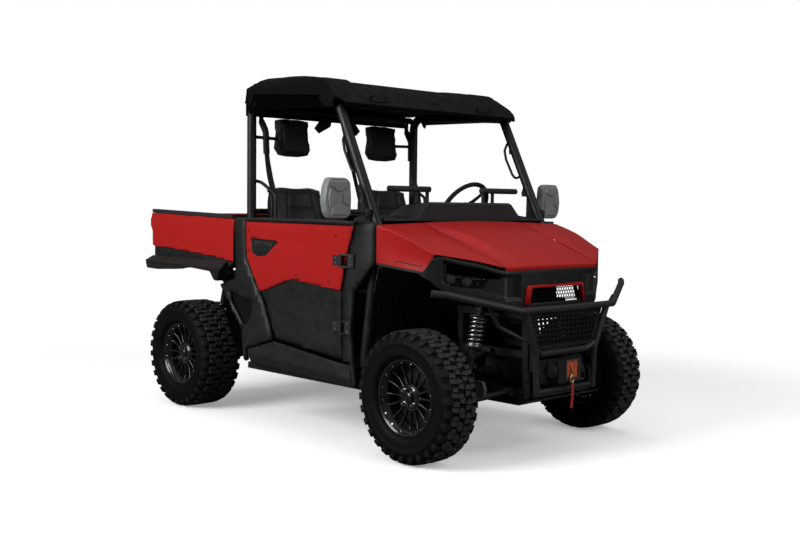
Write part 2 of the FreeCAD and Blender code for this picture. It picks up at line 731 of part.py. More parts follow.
# The black nose below the hood: brow, corner housings and the plate around the grille.
def make_nose_fascia():
    half = [(1052, 706), (1120, 650), (1318, 366), (1340, 0)]
    inner = [(1290, 0), (1270, 340), (1100, 600), (1040, 640)]
    half = [(front_x(x), nose_y(y)) for x, y in half]
    inner = [(front_x(x), nose_y(y)) for x, y in inner]
    plan = half + [(x, -y) for x, y in reversed(half[:3])] + [(x, -y) for x,
                                                              y in reversed(inner[1:])] + inner
    brow = flat_plate(plan, body_z(760), body_z(960))
    line = [(1058, 934), (1115, 1031), (1313, 967), (1400, 940)]
    upper = [(1400, 1120), (900, 1120), (900, 951)]
    brow = brow.cut(side_plate([(front_x(x), body_z(z) - seat_gap) for x, z in line + upper], -1200, 1200))
    brow = brow.cut(side_plate([(front_x(x), body_z(z) - move_gap) for x, z in line + upper], -377, 377))
    outline = [(900, 700), (1060, 700), (1060, 925), (1160, 880), (1245, 842), (1330, 780), (1400, 780),
               (1400, 500),
               (900, 500)]
    low = side_plate([(front_x(x), body_z(z)) for x, z in outline], -1200, 1200)
    brow = brow.cut(low)
    grille_low, grille_top = body_z(788), body_z(862)
    opening = cross_plate([(-214, grille_low), (-190, grille_top), (190, grille_top), (214, grille_low)],
                          front_x(1200), front_x(1400))
    brow = brow.cut(opening)
    lamp_hole = cross_plate(lamp_outline, front_x(1100), front_x(1400))
    brow = brow.cut(lamp_hole).cut(flip(lamp_hole))
    foot_x = min(ahead_x(275), front_x(1290))
    foot_end = max(ahead_x(275), front_x(1290)) + 26
    foot = fuse([block(foot_x, foot_end, 150, 252, 736 + seat_gap, 752),
                 block(foot_x, foot_end, 224, 252, 740, body_z(835))])
    return fuse([brow, foot, flip(foot)])


def make_grille_bezel():
    low, top, arch = body_z(776), body_z(872), body_z(850)
    x0, x1 = front_x(1200), front_x(1450)
    outer = cross_plate([(-244, low), (-232, top), (232, top), (244, low)], x0, x1)
    inner = cross_plate([(-206, low - 80), (-190, arch), (190, arch), (206, low - 80)], x0 - 10, x1 + 10)
    nose = [(front_x(1340) + seat_gap, 0), (front_x(1318) + seat_gap, 366)]
    band = nose + [(front_x(1330), 366), (front_x(1354), 0), (front_x(1330), -366),
                   (front_x(1318) + seat_gap, -366)]
    return outer.cut(inner).common(flat_plate(band, 500, 1700))


def make_grille_mesh():
    low, top = body_z(788) + 0.4, body_z(862) - 0.4
    x = front_x(1300)
    mesh = cross_plate([(-213.6, low), (-189.9, top), (189.9, top), (213.6, low)], x, x + 4)
    windows = []
    pitch = (top - low - 4) / 3
    for row in range(3):
        z = low + 4 + (row + 0.5) * pitch - 2
        count = 11 if row < 2 else 10
        for n in range(-count, count + 1):
            y = n * 17.6 + (row % 2) * 8.8
            if abs(y) < 197 - row * 7:
                half = pitch / 2 - 2
                corners = [(y - 6.8, z - half / 2), (y, z - half), (y + 6.8, z - half / 2),
                           (y + 6.8, z + half / 2),
                           (y, z + half), (y - 6.8, z + half / 2)]
                windows.append(cross_plate(corners, x - 2, x + 6))
    return mesh.cut(Part.Compound(windows))


def make_headlamps():
    middle_y, middle_z = nose_y(546), body_z(898)
    outline = [(middle_y + (y - middle_y) * 0.996, middle_z + (z - middle_z) * 0.99) for y,
               z in lamp_outline]
    lamp = cross_plate(outline, front_x(1100) + seat_gap, front_x(1400))
    plan = [(1085, 640), (1115, 650), (1313, 362), (1275, 350)]
    corner = flat_plate([(front_x(x), nose_y(y)) for x, y in plan], 500, 1300)
    return both_sides(lamp.common(corner))


# Black liners over the front wheels, between the fender and the frame.
def make_wheel_liners():
    arch = [(-269, 830), (-243, 950), (-115, 985), (20, 965), (20, 969), (-115, 989), (-246, 954),
            (-273, 832)]
    wide = body_half_width - 13
    liner = side_plate([(front_axle + x, z) for x, z in arch], 345, wide)
    inset = 5 + seat_gap * 2
    plan = [(500, 300), (500, wide - inset), (cowl_x, wide - inset), (front_x(940), wide - 22 - inset),
            (front_x(1115), wide - 58 - inset), (front_x(1115), 300)]
    return both_sides(liner.common(flat_plate(plan, 700, 1100)))


def make_bull_bar():
    r = bar_tube / 2
    tip_y, bend_y = body_half_width + 28, body_half_width - 34
    half = [(ahead_x(182), tip_y, 850), (ahead_x(226), bend_y, 842), (ahead_x(403), 372, 760)]
    other = [(x, -y, z) for x, y, z in reversed(half)]
    wing = bent_bar(half + [(ahead_x(409), 0, 758)] + other, r, 45)
    face_x = ahead_x(385)
    posts = []
    for side in (-1, 1):
        posts.append(bent_bar([(ahead_x(395), side * 330, 752), (face_x, side * 240, 540),
                               (face_x, side * 226, 330)], r, 40))
        posts.append(bent_bar([(ahead_x(310), side * 508, 792), (ahead_x(300), side * 420, 680),
                               (face_x, side * 262, 590)], 9, 24))
    back_x = face_x - 14 * end_share
    hoop = bent_bar([(face_x, 236, 560), (back_x, 183, 533), (back_x, -183, 533), (face_x, -236, 560)],
                    r * 0.9, 30)
    foot = block(ahead_x(347) + seat_gap, face_x, -236, 236, 322, 352)
    plate = cross_plate([(-250, 570), (-300, 735), (300, 735), (250, 570)], face_x - 4, face_x)
    holes = []
    for row in range(4):
        for n in range(-5, 6):
            y = n * 42 + (row % 2) * 21
            if abs(y) < 205 + row * 14:
                holes.append(cross_plate([(y - 9, 600 + row * 34), (y + 9, 600 + row * 34),
                                          (y + 9, 612 + row * 34),
                                          (y - 9, 612 + row * 34)], face_x - 6, face_x + 2))
    plate = plate.cut(Part.Compound(holes))
    return fuse([wing, hoop, foot, plate] + posts)


def make_winch():
    drum = rod((ahead_x(380), -60, 440), (ahead_x(380), 60, 440), 30)
    case = block(ahead_x(351), ahead_x(395), -120, -60, 395, 490)
    motor = block(ahead_x(351), ahead_x(395), 60, 120, 395, 490)
    plate = block(ahead_x(347) + seat_gap, ahead_x(357), -176, 176, 380, 500)
    x0, x1 = ahead_x(410), ahead_x(418)
    fairlead = block(x0, x1, -95, 95, 400, 480).cut(block(x0 - 5, x1 + 5, -70, 70, 425, 455))
    sides = [block(ahead_x(390), x0 + 2, -95, -88, 400, 480), block(ahead_x(390), x0 + 2, 88, 95, 400, 480)]
    hook = block(x1 + seat_gap, half_length, -14, 14, 395, 440)
    return fuse([drum, case, motor, plate, fairlead, hook] + sides)


# Cab furniture


def make_dashboard():
    outline = [(672, 1182), (742, 1182), (742, 1192), (560, 1212), (470, 1196), (440, 1130), (450, 980),
               (520, 940), (600, 960), (650, 1060), (650, 1130), (672, 1130)]
    dash = side_plate(raised(outline), -tub_half_width - 2, tub_half_width + 2)
    cage_side_in = cage_y - cage_tube / 2 - seat_gap
    strip = block(674, 742, -cage_side_in, cage_side_in, sill_height - 3, sill_height + 5)
    low_z, top_z = sill_height + 3, sill_height + 98
    low = [V(742, -423, low_z), V(742, 423, low_z), V(500, 423, low_z + 11), V(500, -423, low_z + 11)]
    top = [V(740, -327, top_z), V(740, 327, top_z), V(560, 340, top_z - 14), V(560, -340, top_z - 14)]
    cowl_low = Part.makePolygon(low + low[:1])
    cowl_top = Part.makePolygon(top + top[:1])
    cowl = Part.makeLoft([cowl_low, cowl_top], True, True)
    axis_x, axis_z = hood_axis
    brackets = []
    for side in (-1, 1):
        y0, y1 = sorted((side * 351, side * 359))
        outline = [(650, axis_z - 17), (650, axis_z - 27), (axis_x - 28, axis_z - 31),
                   (axis_x - 6, axis_z - 18),
                   (axis_x + 9, axis_z), (axis_x, axis_z + 9), (axis_x - 9, axis_z), (axis_x - 30,
                                                                                      axis_z - 20)]
        brackets.append(side_plate(outline + [(672, axis_z - 17)], y0, y1))
        y0, y1 = sorted((side * 332, side * 359))
        brackets.append(rod((axis_x, y0, axis_z), (axis_x, y1, axis_z), pin_radius))
    return fuse([dash, strip, cowl] + brackets)


def make_steering_column():
    tilt = math.radians(column_tilt)
    cx, cy, cz = wheel_centre

    def along(reach):
        return (cx + reach * math.cos(tilt), cy, cz - reach * math.sin(tilt))

    tube = rod(along(43), along(145.3), 26)
    shaft = rod(along(10), along(60), 10)
    return fuse([tube, shaft])


def make_steering_wheel():
    ring = Part.makeTorus(175, 15)
    hub = Part.makeCylinder(48, 30, V(0, 0, -22))
    parts = [ring, hub]
    for angle in (0, 130, 230):
        spoke = block(30, 172, -14, 14, -8, 4)
        spoke.rotate(V(0, 0, 0), V(0, 0, 1), angle + 180)
        parts.append(spoke)
    parts.append(Part.makeCylinder(20, 16, V(0, 0, -36)))
    whole = fuse(parts).cut(Part.makeCylinder(10 + fit_gap, 32, V(0, 0, -37)))
    turn = FreeCAD.Rotation(V(0, 0, 1), V(-math.cos(math.radians(column_tilt)), 0,
                                          math.sin(math.radians(column_tilt))))
    whole.Placement = FreeCAD.Placement(V(*wheel_centre), turn)
    return whole


# The padded bars on the dashboard, one for each seat.
def dash_bar():
    pod = block(600, 640, 205, 515, sill_height + 150, sill_height + 182)
    stalks = [block(612, 628, y - 8, y + 8, sill_height + 89.8, sill_height + 154) for y in (225, 305)]
    return fuse([pod] + stalks)


def make_pedals():
    parts = []
    for y in (300, 430):
        parts.append(block(560, 570, y - 32, y + 32, 560, 620))
        parts.append(block(568, 580, y - 8, y + 8, 600, body_z(951.6)))
    return fuse(parts)


def make_seat_cushions():
    profile = [(-330, 790.3), (130, 790.3), (150, 850), (120, 912), (60, 925), (-235, 918), (-240, 906)]
    profile += [(-330, 906)]
    cushion = side_plate(profile, 165, tub_half_width - 56)
    return both_sides(cushion)


def make_seat_backs():
    profile = [(-350, 906.4), (-241, 906.4), (-330, 1360), (-350, 1372), (-415, 1372), (-432, 1350),
               (-420, 906.4)]
    return both_sides(side_plate(profile, 165, tub_half_width - 71))


def make_headrests():
    low = [V(x, y, 1548) for x, y in ((-350, 262), (-350, 462), (-430, 452), (-430, 272))]
    mid = [V(x, y, 1592) for x, y in ((-350, 238), (-350, 486), (-440, 476), (-440, 248))]
    top = [V(x, y, 1772) for x, y in ((-366, 246), (-366, 478), (-448, 468), (-448, 256))]
    wires = [Part.makePolygon(p + p[:1]) for p in (low, mid, top)]
    return both_sides(Part.makeLoft(wires, True, True))


def make_seat_belts():
    y = cage_y - 67
    sleeve = bent_bar([(-395, y, 1801.6), (-395, y, 1750), (-350, y - 2, 1680), (-348, y - 6, 1555)], 22,
                      36)
    web = side_plate([(-345, 1560), (-337, 1560), (-262, 1290), (-262, 790.3), (-270, 790.3),
                      (-270, 1290)], y - 25, y + 2)
    return both_sides(fuse([sleeve, web]))


def make_cab_bars():
    y = cage_y - 50
    hip = bent_bar([(-395, cage_y - 15, 1402), (-372, y, 1392), (-330, y, 1372), (-232, y, 1316),
                    (-228, y, 790 + seat_gap)], 10, 12)
    arm = rod((-395, cage_y - 15, 1654), (-395, cage_y - 175, 1650), 10)
    hoop = rod((-395, cage_y, 1100), (-395, cage_y, 1750), cage_tube / 2 + seat_gap)
    return both_sides(group([hip.cut(hoop), arm.cut(hoop), dash_bar()]))


def cage_side():
    r = cage_tube / 2
    route = [(604, cage_y, 430), (704, cage_y, sill_height - 36), (382, cage_y, 1806), (-395, cage_y, 1838),
             (-395, cage_y, 430)]
    hoop = bent_bar(route, r, 70)
    floor = rail_z + 20 + seat_gap
    foot = block(578, 630, cage_y - 23, cage_y + 23, floor, 440)
    rear = block(-425, -365, cage_y - 23, cage_y + 23, floor, 440)
    return fuse([hoop, foot, rear])


def make_cage_left():
    return cage_side()


def make_cage_right():
    return flip(cage_side())


def make_cage_cross():
    r = 20
    end = cage_y - cage_tube / 2 - seat_gap
    header = rod((372, -end, 1812), (372, end, 1812), r)
    rear_top = rod((-395, -end, 1822), (-395, end, 1822), r)
    low_x = -462
    rear_low = bent_bar([(-418, -end, 1222), (low_x, 95 - cage_y, 1222), (low_x, cage_y - 95, 1222),
                         (-418, end, 1222)], 16, 40)
    brace = rod((-395, 20, 1822), (low_x, 265, 1222), 15)
    other = rod((-395, -20, 1822), (low_x, -265, 1222), 15)
    whole = fuse([rear_top, rear_low, brace, other])
    return group([header, whole])


def roof_body(shrink):
    s = shrink
    profile = [(-470 + s, 1778 - s), (-470 + s, 1856), (-350 + s * 0.4, 1916 - s), (-268, 1986 - s),
               (30, 1974 - s),
               (160, 1958 - s), (268, 1940 - s), (372 - s, 1868 - s), (470 - s, 1800), (470 - s, 1778 - s)]
    side = side_plate(profile, 15 - body_half_width, body_half_width - 15)
    w = body_half_width
    half = [(w - 135, 1990 - s), (w - 67 - s * 0.5, 1930), (w - 29 - s, 1860), (w - 23 - s, 1700)]
    section = [(-y, z) for y, z in reversed(half)] + half
    across = cross_plate(section, -500, 500)
    return side.common(across)


def make_roof():
    shell = roof_body(0).cut(roof_body(4))
    reach = side_plate([(-330, 1700), (-330, 1900), (290, 1850), (330, 1700)], -1100, 1100)
    flank = block(-400, 400, body_half_width - 95, body_half_width + 25, 1600, 2000)
    flanks = both_sides(flank)
    shell = shell.cut(reach.common(flanks))
    seats = []
    for x in (-250, 200):
        tube_top = 1806 + (382 - x) / 777 * 32 + cage_tube / 2 + 0.6
        seats.append(block(x - 10, x + 10, cage_y - 12, cage_y + 12, tube_top + 0.3, 1938))
    return fuse([shell] + seats + [flip(piece) for piece in seats])


def make_mirrors():
    outline = [(27, 29), (55, 7), (165, 7), (191, 39), (202, 104), (191, 174), (170, 215), (55, 215),
               (31, 194), (25, 114)]
    housing = cross_plate([(body_half_width + y, sill_height + z) for y, z in outline], 570, 626)
    clamp_y = cage_y + cage_tube / 2 + 16 + 0.4
    arm = bent_bar([(600, body_half_width + 40, sill_height + 44),
                    (640, body_half_width - 5, sill_height + 42),
                    (668, clamp_y, sill_height + 40)], 11, 20)
    clamp = rod((668, clamp_y, sill_height + 20), (668, clamp_y, sill_height + 60), 16)
    return both_sides(fuse([housing, arm, clamp]))


# Load bed


def rail_top(x):
    return sill_height + 13 + (-420 - x) / 932 * 27


def make_bed_box():
    outer = side_plate([(bed_front, 890), (bed_rear, 890), (bed_rear, rail_top(bed_rear)),
                        (bed_front, rail_top(bed_front))], -panel_in, panel_in)
    inner = side_plate([(bed_front - 28, 902), (bed_rear - 10, 902), (bed_rear - 10, 1700),
                        (bed_front - 28, 1700)], 40 - panel_in, panel_in - 40)
    tub = outer.cut(inner)
    rails = side_plate([(bed_front, rail_top(bed_front) - 24), (bed_rear, rail_top(bed_rear) - 24),
                        (bed_rear, rail_top(bed_rear)), (bed_front,
                                                         rail_top(bed_front))], panel_in - 10, panel_in + 22)
    ribs = []
    for side in (-1, 1):
        y = side * rear_rail_y
        lug_piece = side_plate([(bed_axis[0] - 20, 852), (bed_axis[0] + 20, 852), (bed_axis[0] + 25, 892),
                                (bed_axis[0] - 25, 892)], y - 5, y + 5)
        bore = rod((bed_axis[0], y - 10, bed_axis[1]), (bed_axis[0], y + 10, bed_axis[1]), 8 + fit_gap)
        ribs.append(lug_piece.cut(bore))
        gate_x, gate_z = tailgate_axis
        hinge_y = side * (panel_in - 200)
        for y0 in (hinge_y - 30, hinge_y + 18):
            ribs.append(block(gate_x - 8, bed_rear + 4, y0, y0 + 12, gate_z - 8, gate_z + 7))
        ribs.append(rod((gate_x, hinge_y - 30, gate_z), (gate_x, hinge_y + 30, gate_z), pin_radius))
    beams = [block(bed_rear + 11, bed_front - 22, y - 20, y + 20, 862, 892) for y in (-330, 330)]
    return fuse([tub, rails, flip(rails)] + ribs + beams)


def make_bed_sides():
    r, f = bed_rear, bed_front
    outline = [(r - 11, 1198), (r - 36, 1134), (r - 7, 1090), (r - 1, 987), (r + 25, 940), (r + 25, 905),
               (-900, 890),
               (f - 22, 890), (f + 12, 920), (f + 20, 1172)]
    outline = raised(outline) + [(f - 2, rail_top(f - 2) - 24.3), (r - 1, rail_top(r - 1) - 24.3)]
    side = side_plate(outline, panel_in + seat_gap, panel_in + 24)
    return both_sides(side)


def make_rear_flares():
    outline = [(-361, 930), (-357, 880), (-343, 849), (-215, 846), (-13, 856), (169, 876), (375, 862),
               (415, 812), (449, 808), (475, 884), (115, 888), (-347, 902)]
    flare = side_plate([(rear_axle + x, z) for x, z in outline], panel_in + 24 + seat_gap,
                       body_half_width + 48)
    return both_sides(flare)


def make_tail_lamps():
    lamp = block(bed_rear - 10, bed_rear - seat_gap, panel_in - 36, panel_in - 2, 960, body_z(1150))
    return both_sides(lamp)


def make_tailgate():
    gate_x, gate_z = tailgate_axis
    inner = bed_rear - move_gap
    gate = block(inner - 26, inner, 48 - panel_in, panel_in - 48, gate_z + 18, body_z(1200))
    gate = gate.cut(block(inner - 40, inner - 20, -80, 80, body_z(1110), body_z(1165)))
    parts = [gate]
    bores = []
    for y in (200 - panel_in, panel_in - 200):
        parts.append(rod((gate_x, y - 16, gate_z), (gate_x, y + 16, gate_z), 9))
        parts.append(block(gate_x - 9, inner, y - 16, y + 16, gate_z, gate_z + 20))
        bores.append(rod((gate_x, y - 20, gate_z), (gate_x, y + 20, gate_z), pin_radius + fit_gap))
    return fuse(parts).cut(Part.Compound(bores))


# The steering wheel, tyres and rims at their places


def place_wheel(shape, x, y, turned):
    piece = shape.copy()
    if turned:
        piece.rotate(V(0, 0, 0), V(0, 0, 1), 180)
    piece.translate(V(x, y, tyre_radius))
    return piece


def main():
    os.makedirs("parts", exist_ok=True)
    front_tyre = tyre(front_tyre_width)
    rear_tyre = tyre(rear_tyre_width)
    front_rim = rim(front_tyre_width)
    rear_rim = rim(rear_tyre_width)
    nodes = {
        "frame_rails": make_frame_rails(),
        "front_subframe": make_front_subframe(),
        "rear_subframe": make_rear_subframe(),
        "tow_receiver": make_tow_receiver(),
        "skid_plate": make_skid_plate(),
        "battery_pack": make_battery_pack(),
        "rear_drive_unit": make_rear_drive_unit(),
        "front_differential": make_front_differential(),
        "drive_shafts": make_drive_shafts(),
        "front_arms": make_front_arms(),
        "rear_arms": make_rear_arms(),
        "shocks": make_shocks(),
        "rear_uprights": make_rear_uprights(),
        "floor_tub": make_floor_tub(),
        "rocker_panels": make_rocker_panels(),
        "rear_cab_panels": make_rear_cab_panels(),
        "cowl_side_panels": make_cowl_side_panels(),
        "front_fenders": make_front_fenders(),
        "nose_fascia": make_nose_fascia(),
        "grille_bezel": make_grille_bezel(),
        "grille_mesh": make_grille_mesh(),
        "headlamps": make_headlamps(),
        "wheel_liners": make_wheel_liners(),
        "bull_bar": make_bull_bar(),
        "winch": make_winch(),
        "dashboard": make_dashboard(),
        "steering_column": make_steering_column(),
        "pedals": make_pedals(),
        "seat_cushions": make_seat_cushions(),
        "seat_backs": make_seat_backs(),
        "headrests": make_headrests(),
        "seat_belts": make_seat_belts(),
        "cab_bars": make_cab_bars(),
        "cage_left": make_cage_left(),
        "cage_right": make_cage_right(),
        "cage_cross": make_cage_cross(),
        "roof": make_roof(),
        "mirrors": make_mirrors(),
        "hood": make_hood(),
        "door_left_shell": make_door_left_shell(),
        "door_left_skin": make_door_left_skin(),
        "door_right_shell": make_door_right_shell(),
        "door_right_skin": make_door_right_skin(),
        "steering_wheel": make_steering_wheel(),
        "tie_rods": make_tie_rods(),
        "knuckle_left": make_knuckle_left(),
        "knuckle_right": make_knuckle_right(),
        "bed_box": make_bed_box(),
        "bed_sides": make_bed_sides(),
        "rear_flares": make_rear_flares(),
        "tail_lamps": make_tail_lamps(),
        "tailgate": make_tailgate(),
    }
    corners = [("front_left", front_axle, front_wheel_y, front_tyre, front_rim),
               ("front_right", front_axle, -front_wheel_y, front_tyre, front_rim),
               ("rear_left", rear_axle, rear_wheel_y, rear_tyre, rear_rim),
               ("rear_right", rear_axle, -rear_wheel_y, rear_tyre, rear_rim)]
    for name, x, y, tyre_shape, rim_shape in corners:
        nodes["tyre_" + name] = place_wheel(tyre_shape, x, y, y < 0)
        nodes["rim_" + name] = place_wheel(rim_shape, x, y, y < 0)
    for name, shape in nodes.items():
        shape.exportStep("parts/" + name + ".step")
        print(name, len(shape.Solids), shape.isValid(), round(shape.Volume / 1e6, 2))
    print(len(nodes), "nodes")


main()
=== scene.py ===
import math
import bpy
import bmesh
from mathutils import Matrix, Vector
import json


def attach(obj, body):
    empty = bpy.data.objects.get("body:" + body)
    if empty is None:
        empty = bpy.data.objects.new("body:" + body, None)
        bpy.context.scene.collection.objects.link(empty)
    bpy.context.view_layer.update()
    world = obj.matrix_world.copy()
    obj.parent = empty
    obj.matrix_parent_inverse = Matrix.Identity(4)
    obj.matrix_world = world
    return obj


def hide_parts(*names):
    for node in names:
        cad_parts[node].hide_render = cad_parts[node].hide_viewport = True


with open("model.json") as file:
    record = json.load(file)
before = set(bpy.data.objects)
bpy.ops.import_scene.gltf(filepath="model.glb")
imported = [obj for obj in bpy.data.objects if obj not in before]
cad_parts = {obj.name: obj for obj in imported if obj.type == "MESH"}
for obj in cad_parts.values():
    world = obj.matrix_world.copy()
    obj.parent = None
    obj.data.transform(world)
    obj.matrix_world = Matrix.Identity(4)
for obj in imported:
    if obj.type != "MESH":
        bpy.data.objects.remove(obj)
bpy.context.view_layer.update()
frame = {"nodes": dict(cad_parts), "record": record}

scene = bpy.context.scene
scene.view_settings.view_transform = "Standard"
scene.view_settings.look = "None"

# Camera, as the photograph was taken
print("stage: camera")
view = {"place": (4.703, -4.307, 1.258), "azimuth": 46.426, "elevation": 3.252, "roll": 0.6, "lens": 47.89}


def aimCamera():
    turn, rise, roll = (math.radians(view[key]) for key in ("azimuth", "elevation", "roll"))
    back = Vector((math.sin(turn) * math.cos(rise), -math.cos(turn) * math.cos(rise), math.sin(rise)))
    right = Vector((math.cos(turn), math.sin(turn), 0))
    up = back.cross(right)
    tiltedRight = right * math.cos(roll) + up * math.sin(roll)
    tiltedUp = up * math.cos(roll) - right * math.sin(roll)
    data = bpy.data.cameras.new("camera")
    data.lens = view["lens"]
    data.sensor_width = 36
    data.clip_end = 200
    camera = bpy.data.objects.new("camera", data)
    matrix = Matrix((tiltedRight, tiltedUp, back)).transposed().to_4x4()
    matrix.translation = Vector(view["place"])
    camera.matrix_world = matrix
    scene.collection.objects.link(camera)
    scene.camera = camera


aimCamera()


# Mesh helpers
def mix(a, b, share):
    return a + (b - a) * share


def smoothStep(low, high, value):
    share = min(1.0, max(0.0, (value - low) / (high - low)))
    return share * share * (3 - 2 * share)


# A value read along a list of (position, value) pairs, in straight runs.
def along(pairs, position):
    if position <= pairs[0][0]:
        return pairs[0][1]
    for (a, first), (b, second) in zip(pairs, pairs[1:]):
        if position <= b:
            return mix(first, second, (position - a) / (b - a))
    return pairs[-1][1]


# The same, but eased with a smooth cubic through the pairs.
def curve(pairs, position):
    count = len(pairs)
    if position <= pairs[0][0]:
        return pairs[0][1]
    if position >= pairs[-1][0]:
        return pairs[-1][1]
    for n in range(count - 1):
        a, first = pairs[n]
        b, second = pairs[n + 1]
        if position <= b:
            span = b - a
            before = pairs[max(0, n - 1)]
            after = pairs[min(count - 1, n + 2)]
            slopeA = (second - before[1]) / (b - before[0])
            slopeB = (after[1] - first) / (after[0] - a)
            t = (position - a) / span
            return ((2 * t**3 - 3 * t**2 + 1) * first + (t**3 - 2 * t**2 + t) * span * slopeA
                + (3 * t**2 - 2 * t**3) * second + (t**3 - t**2) * span * slopeB)


# Points of two numbers each, given in millimetres one after the other.
def mm(*numbers):
    return [(a / 1000, b / 1000) for a, b in zip(numbers[::2], numbers[1::2])]


# Points of three numbers each in millimetres, on one side of the vehicle.
def sided(side, *numbers):
    return [(x / 1000, side * y / 1000, z / 1000) for x, y, z in zip(numbers[::3], numbers[1::3],
        numbers[2::3])]


def polygon(bm, outline, axis, low, high):
    def spot(a, b, c):
        return {"x": (c, a, b), "y": (a, c, b), "z": (a, b, c)}[axis]

    first = [bm.verts.new(spot(a, b, low)) for a, b in outline]
    second = [bm.verts.new(spot(a, b, high)) for a, b in outline]
    bm.faces.new(first)
    bm.faces.new(second[::-1])
    for n in range(len(outline)):
        m = (n + 1) % len(outline)
        bm.faces.new((first[n], first[m], second[m], second[n]))


# Two places across the vehicle, on one side of it, in rising order.
def span(side, inner, outer):
    return sorted((side * inner, side * outer))


def sideName(side):
    return "left" if side > 0 else "right"


def brick(bm, low, high):
    polygon(bm, [(low[0], low[1]), (high[0], low[1]), (high[0], high[1]), (low[0], high[1])], "z", low[2],
        high[2])


def sideBrick(bm, side, low, high):
    inner, outer = span(side, low[1], high[1])
    brick(bm, (low[0], inner, low[2]), (high[0], outer, high[2]))


def loft(bm, rings, closed=True, caps=True, ends=False):
    rows = [[bm.verts.new(p) for p in ring] for ring in rings]
    pairs = list(zip(rows, rows[1:]))
    if ends:
        pairs.append((rows[-1], rows[0]))
    size = len(rows[0])
    for first, second in pairs:
        for n in range(size if closed else size - 1):
            m = (n + 1) % size
            bm.faces.new((first[n], first[m], second[m], second[n]))
    if caps and closed and not ends:
        bm.faces.new(rows[0][::-1])
        bm.faces.new(rows[-1])
    return rows


def skin(bm, rows):
    return loft(bm, rows, closed=False, caps=False)


# An open bucket: rings that end in a floor.
def bucket(bm, rings):
    loft(bm, rings, caps=False)
    bm.faces.new([bm.verts.new(p) for p in rings[-1]])


def sheetGrid(bm, spot, columns, rows):
    skin(bm, [[spot(i / columns, j / rows) for i in range(columns + 1)] for j in range(rows + 1)])


def turns(count):
    return [n * math.tau / count for n in range(count)]


def spin(bm, profile, centre, steps, closed=False):
    x, y, z = centre
    loft(bm, [[(x + r * math.cos(a), y + out, z + r * math.sin(a)) for r, out in profile]
        for a in turns(steps)], closed=closed, caps=False, ends=True)


# A route's corners rounded by arcs, for bent tube.
def roundRoute(route, radius, steps=8):
    points = [Vector(p) for p in route]
    line = [points[0]]
    for before, corner, after in zip(points, points[1:], points[2:]):
        a = (before - corner).normalized()
        b = (after - corner).normalized()
        half = a.angle(b) / 2
        if half > 1.55:
            line.append(corner)
            continue
        reach = min(radius / math.tan(half), (before - corner).length * 0.49,
            (after - corner).length * 0.49)
        bend = reach * math.tan(half)
        middle = corner + (a + b).normalized() * (bend / math.sin(half))
        start = corner + a * reach - middle
        end = corner + b * reach - middle
        sweep = start.angle(end)
        for n in range(steps + 1):
            t = n / steps
            share = (math.sin((1 - t) * sweep) * start + math.sin(t * sweep) * end) / math.sin(sweep)
            line.append(middle + share)
    line.append(points[-1])
    return line


def sweep(bm, line, outline, upright=(0, 0, 1), caps=True):
    line = [Vector(p) for p in line]
    rings = []
    up = Vector(upright)
    for n, point in enumerate(line):
        ahead = (line[min(n + 1, len(line) - 1)] - line[max(n - 1, 0)]).normalized()
        side = ahead.cross(up)
        if side.length < 0.05:
            side = ahead.cross(Vector((1, 0.2, 0)))
        side.normalize()
        up = side.cross(ahead).normalized()
        rings.append([point + side * a + up * b for a, b in outline])
    loft(bm, rings, caps=caps)


def disc(radius, sides=16):
    return [(radius * math.cos(a), radius * math.sin(a)) for a in turns(sides)]


def tube(bm, route, radius, bend=0.06, sides=16):
    sweep(bm, roundRoute(route, bend) if len(route) > 2 else route, disc(radius, sides))


def bolt(bm, place, direction, radius=0.006, height=0.005, sides=6):
    place = Vector(place)
    ahead = Vector(direction).normalized()
    side = ahead.cross(Vector((0.3, 0.5, 0.8))).normalized()
    up = side.cross(ahead)

    def ring(size, lift):
        return [place + ahead * lift + side * (size * a) + up * (size * b) for a, b in disc(1, sides)]

    loft(bm, [ring(radius * 1.35, -0.001), ring(radius * 1.35, 0.001), ring(radius, 0.001),
        ring(radius, height * 0.8), ring(radius * 0.8, height)])


# Turns a bmesh into an object of the scene.
def meshObject(name, bm):
    mesh = bpy.data.meshes.new(name)
    bm.to_mesh(mesh)
    bm.free()
    piece = bpy.data.objects.new(name, mesh)
    scene.collection.objects.link(piece)
    return piece


def makePiece(name, bm, look, covers=(), body="chassis", angle=30, bevel=0, segments=2, rounds=0, thick=0,
        facing=None):
    bmesh.ops.remove_doubles(bm, verts=bm.verts, dist=0.00002)
    bmesh.ops.recalc_face_normals(bm, faces=bm.faces)
    if facing and sum(f.normal.dot(Vector(facing)) * f.calc_area() for f in bm.faces) < 0:
        bmesh.ops.reverse_faces(bm, faces=bm.faces)
    piece = meshObject(name, bm)
    piece.data.shade_smooth()
    piece.data.set_sharp_from_angle(angle=math.radians(angle))
    if thick:
        shell = piece.modifiers.new("thickness", "SOLIDIFY")
        shell.thickness = thick
        shell.offset = -1
        shell.use_even_offset = True
    if bevel:
        edge = piece.modifiers.new("edges", "BEVEL")
        edge.width = bevel
        edge.segments = segments
        edge.limit_method = "ANGLE"
        edge.angle_limit = math.radians(30)
        edge.harden_normals = True
    if rounds:
        subdivide(piece, rounds)
    finishPiece(piece, body, look, covers)
    return piece


def subdivide(piece, rounds):
    smooth = piece.modifiers.new("rounding", "SUBSURF")
    smooth.levels = rounds
    smooth.render_levels = rounds


def finishPiece(piece, body, look, covers=()):
    material, slotName = looks[look]
    piece.data.materials.clear()
    piece.data.materials.append(material)
    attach(piece, body)
    if covers:
        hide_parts(*covers)


def mirrored(points):
    return [(x, -y, z) for x, y, z in points]


def bakeModifiers(piece):
    bpy.context.view_layer.update()
    graph = bpy.context.evaluated_depsgraph_get()
    baked = bpy.data.meshes.new_from_object(piece.evaluated_get(graph), depsgraph=graph)
    piece.modifiers.clear()
    piece.data = baked


# Materials
print("stage: materials")
looks = {}


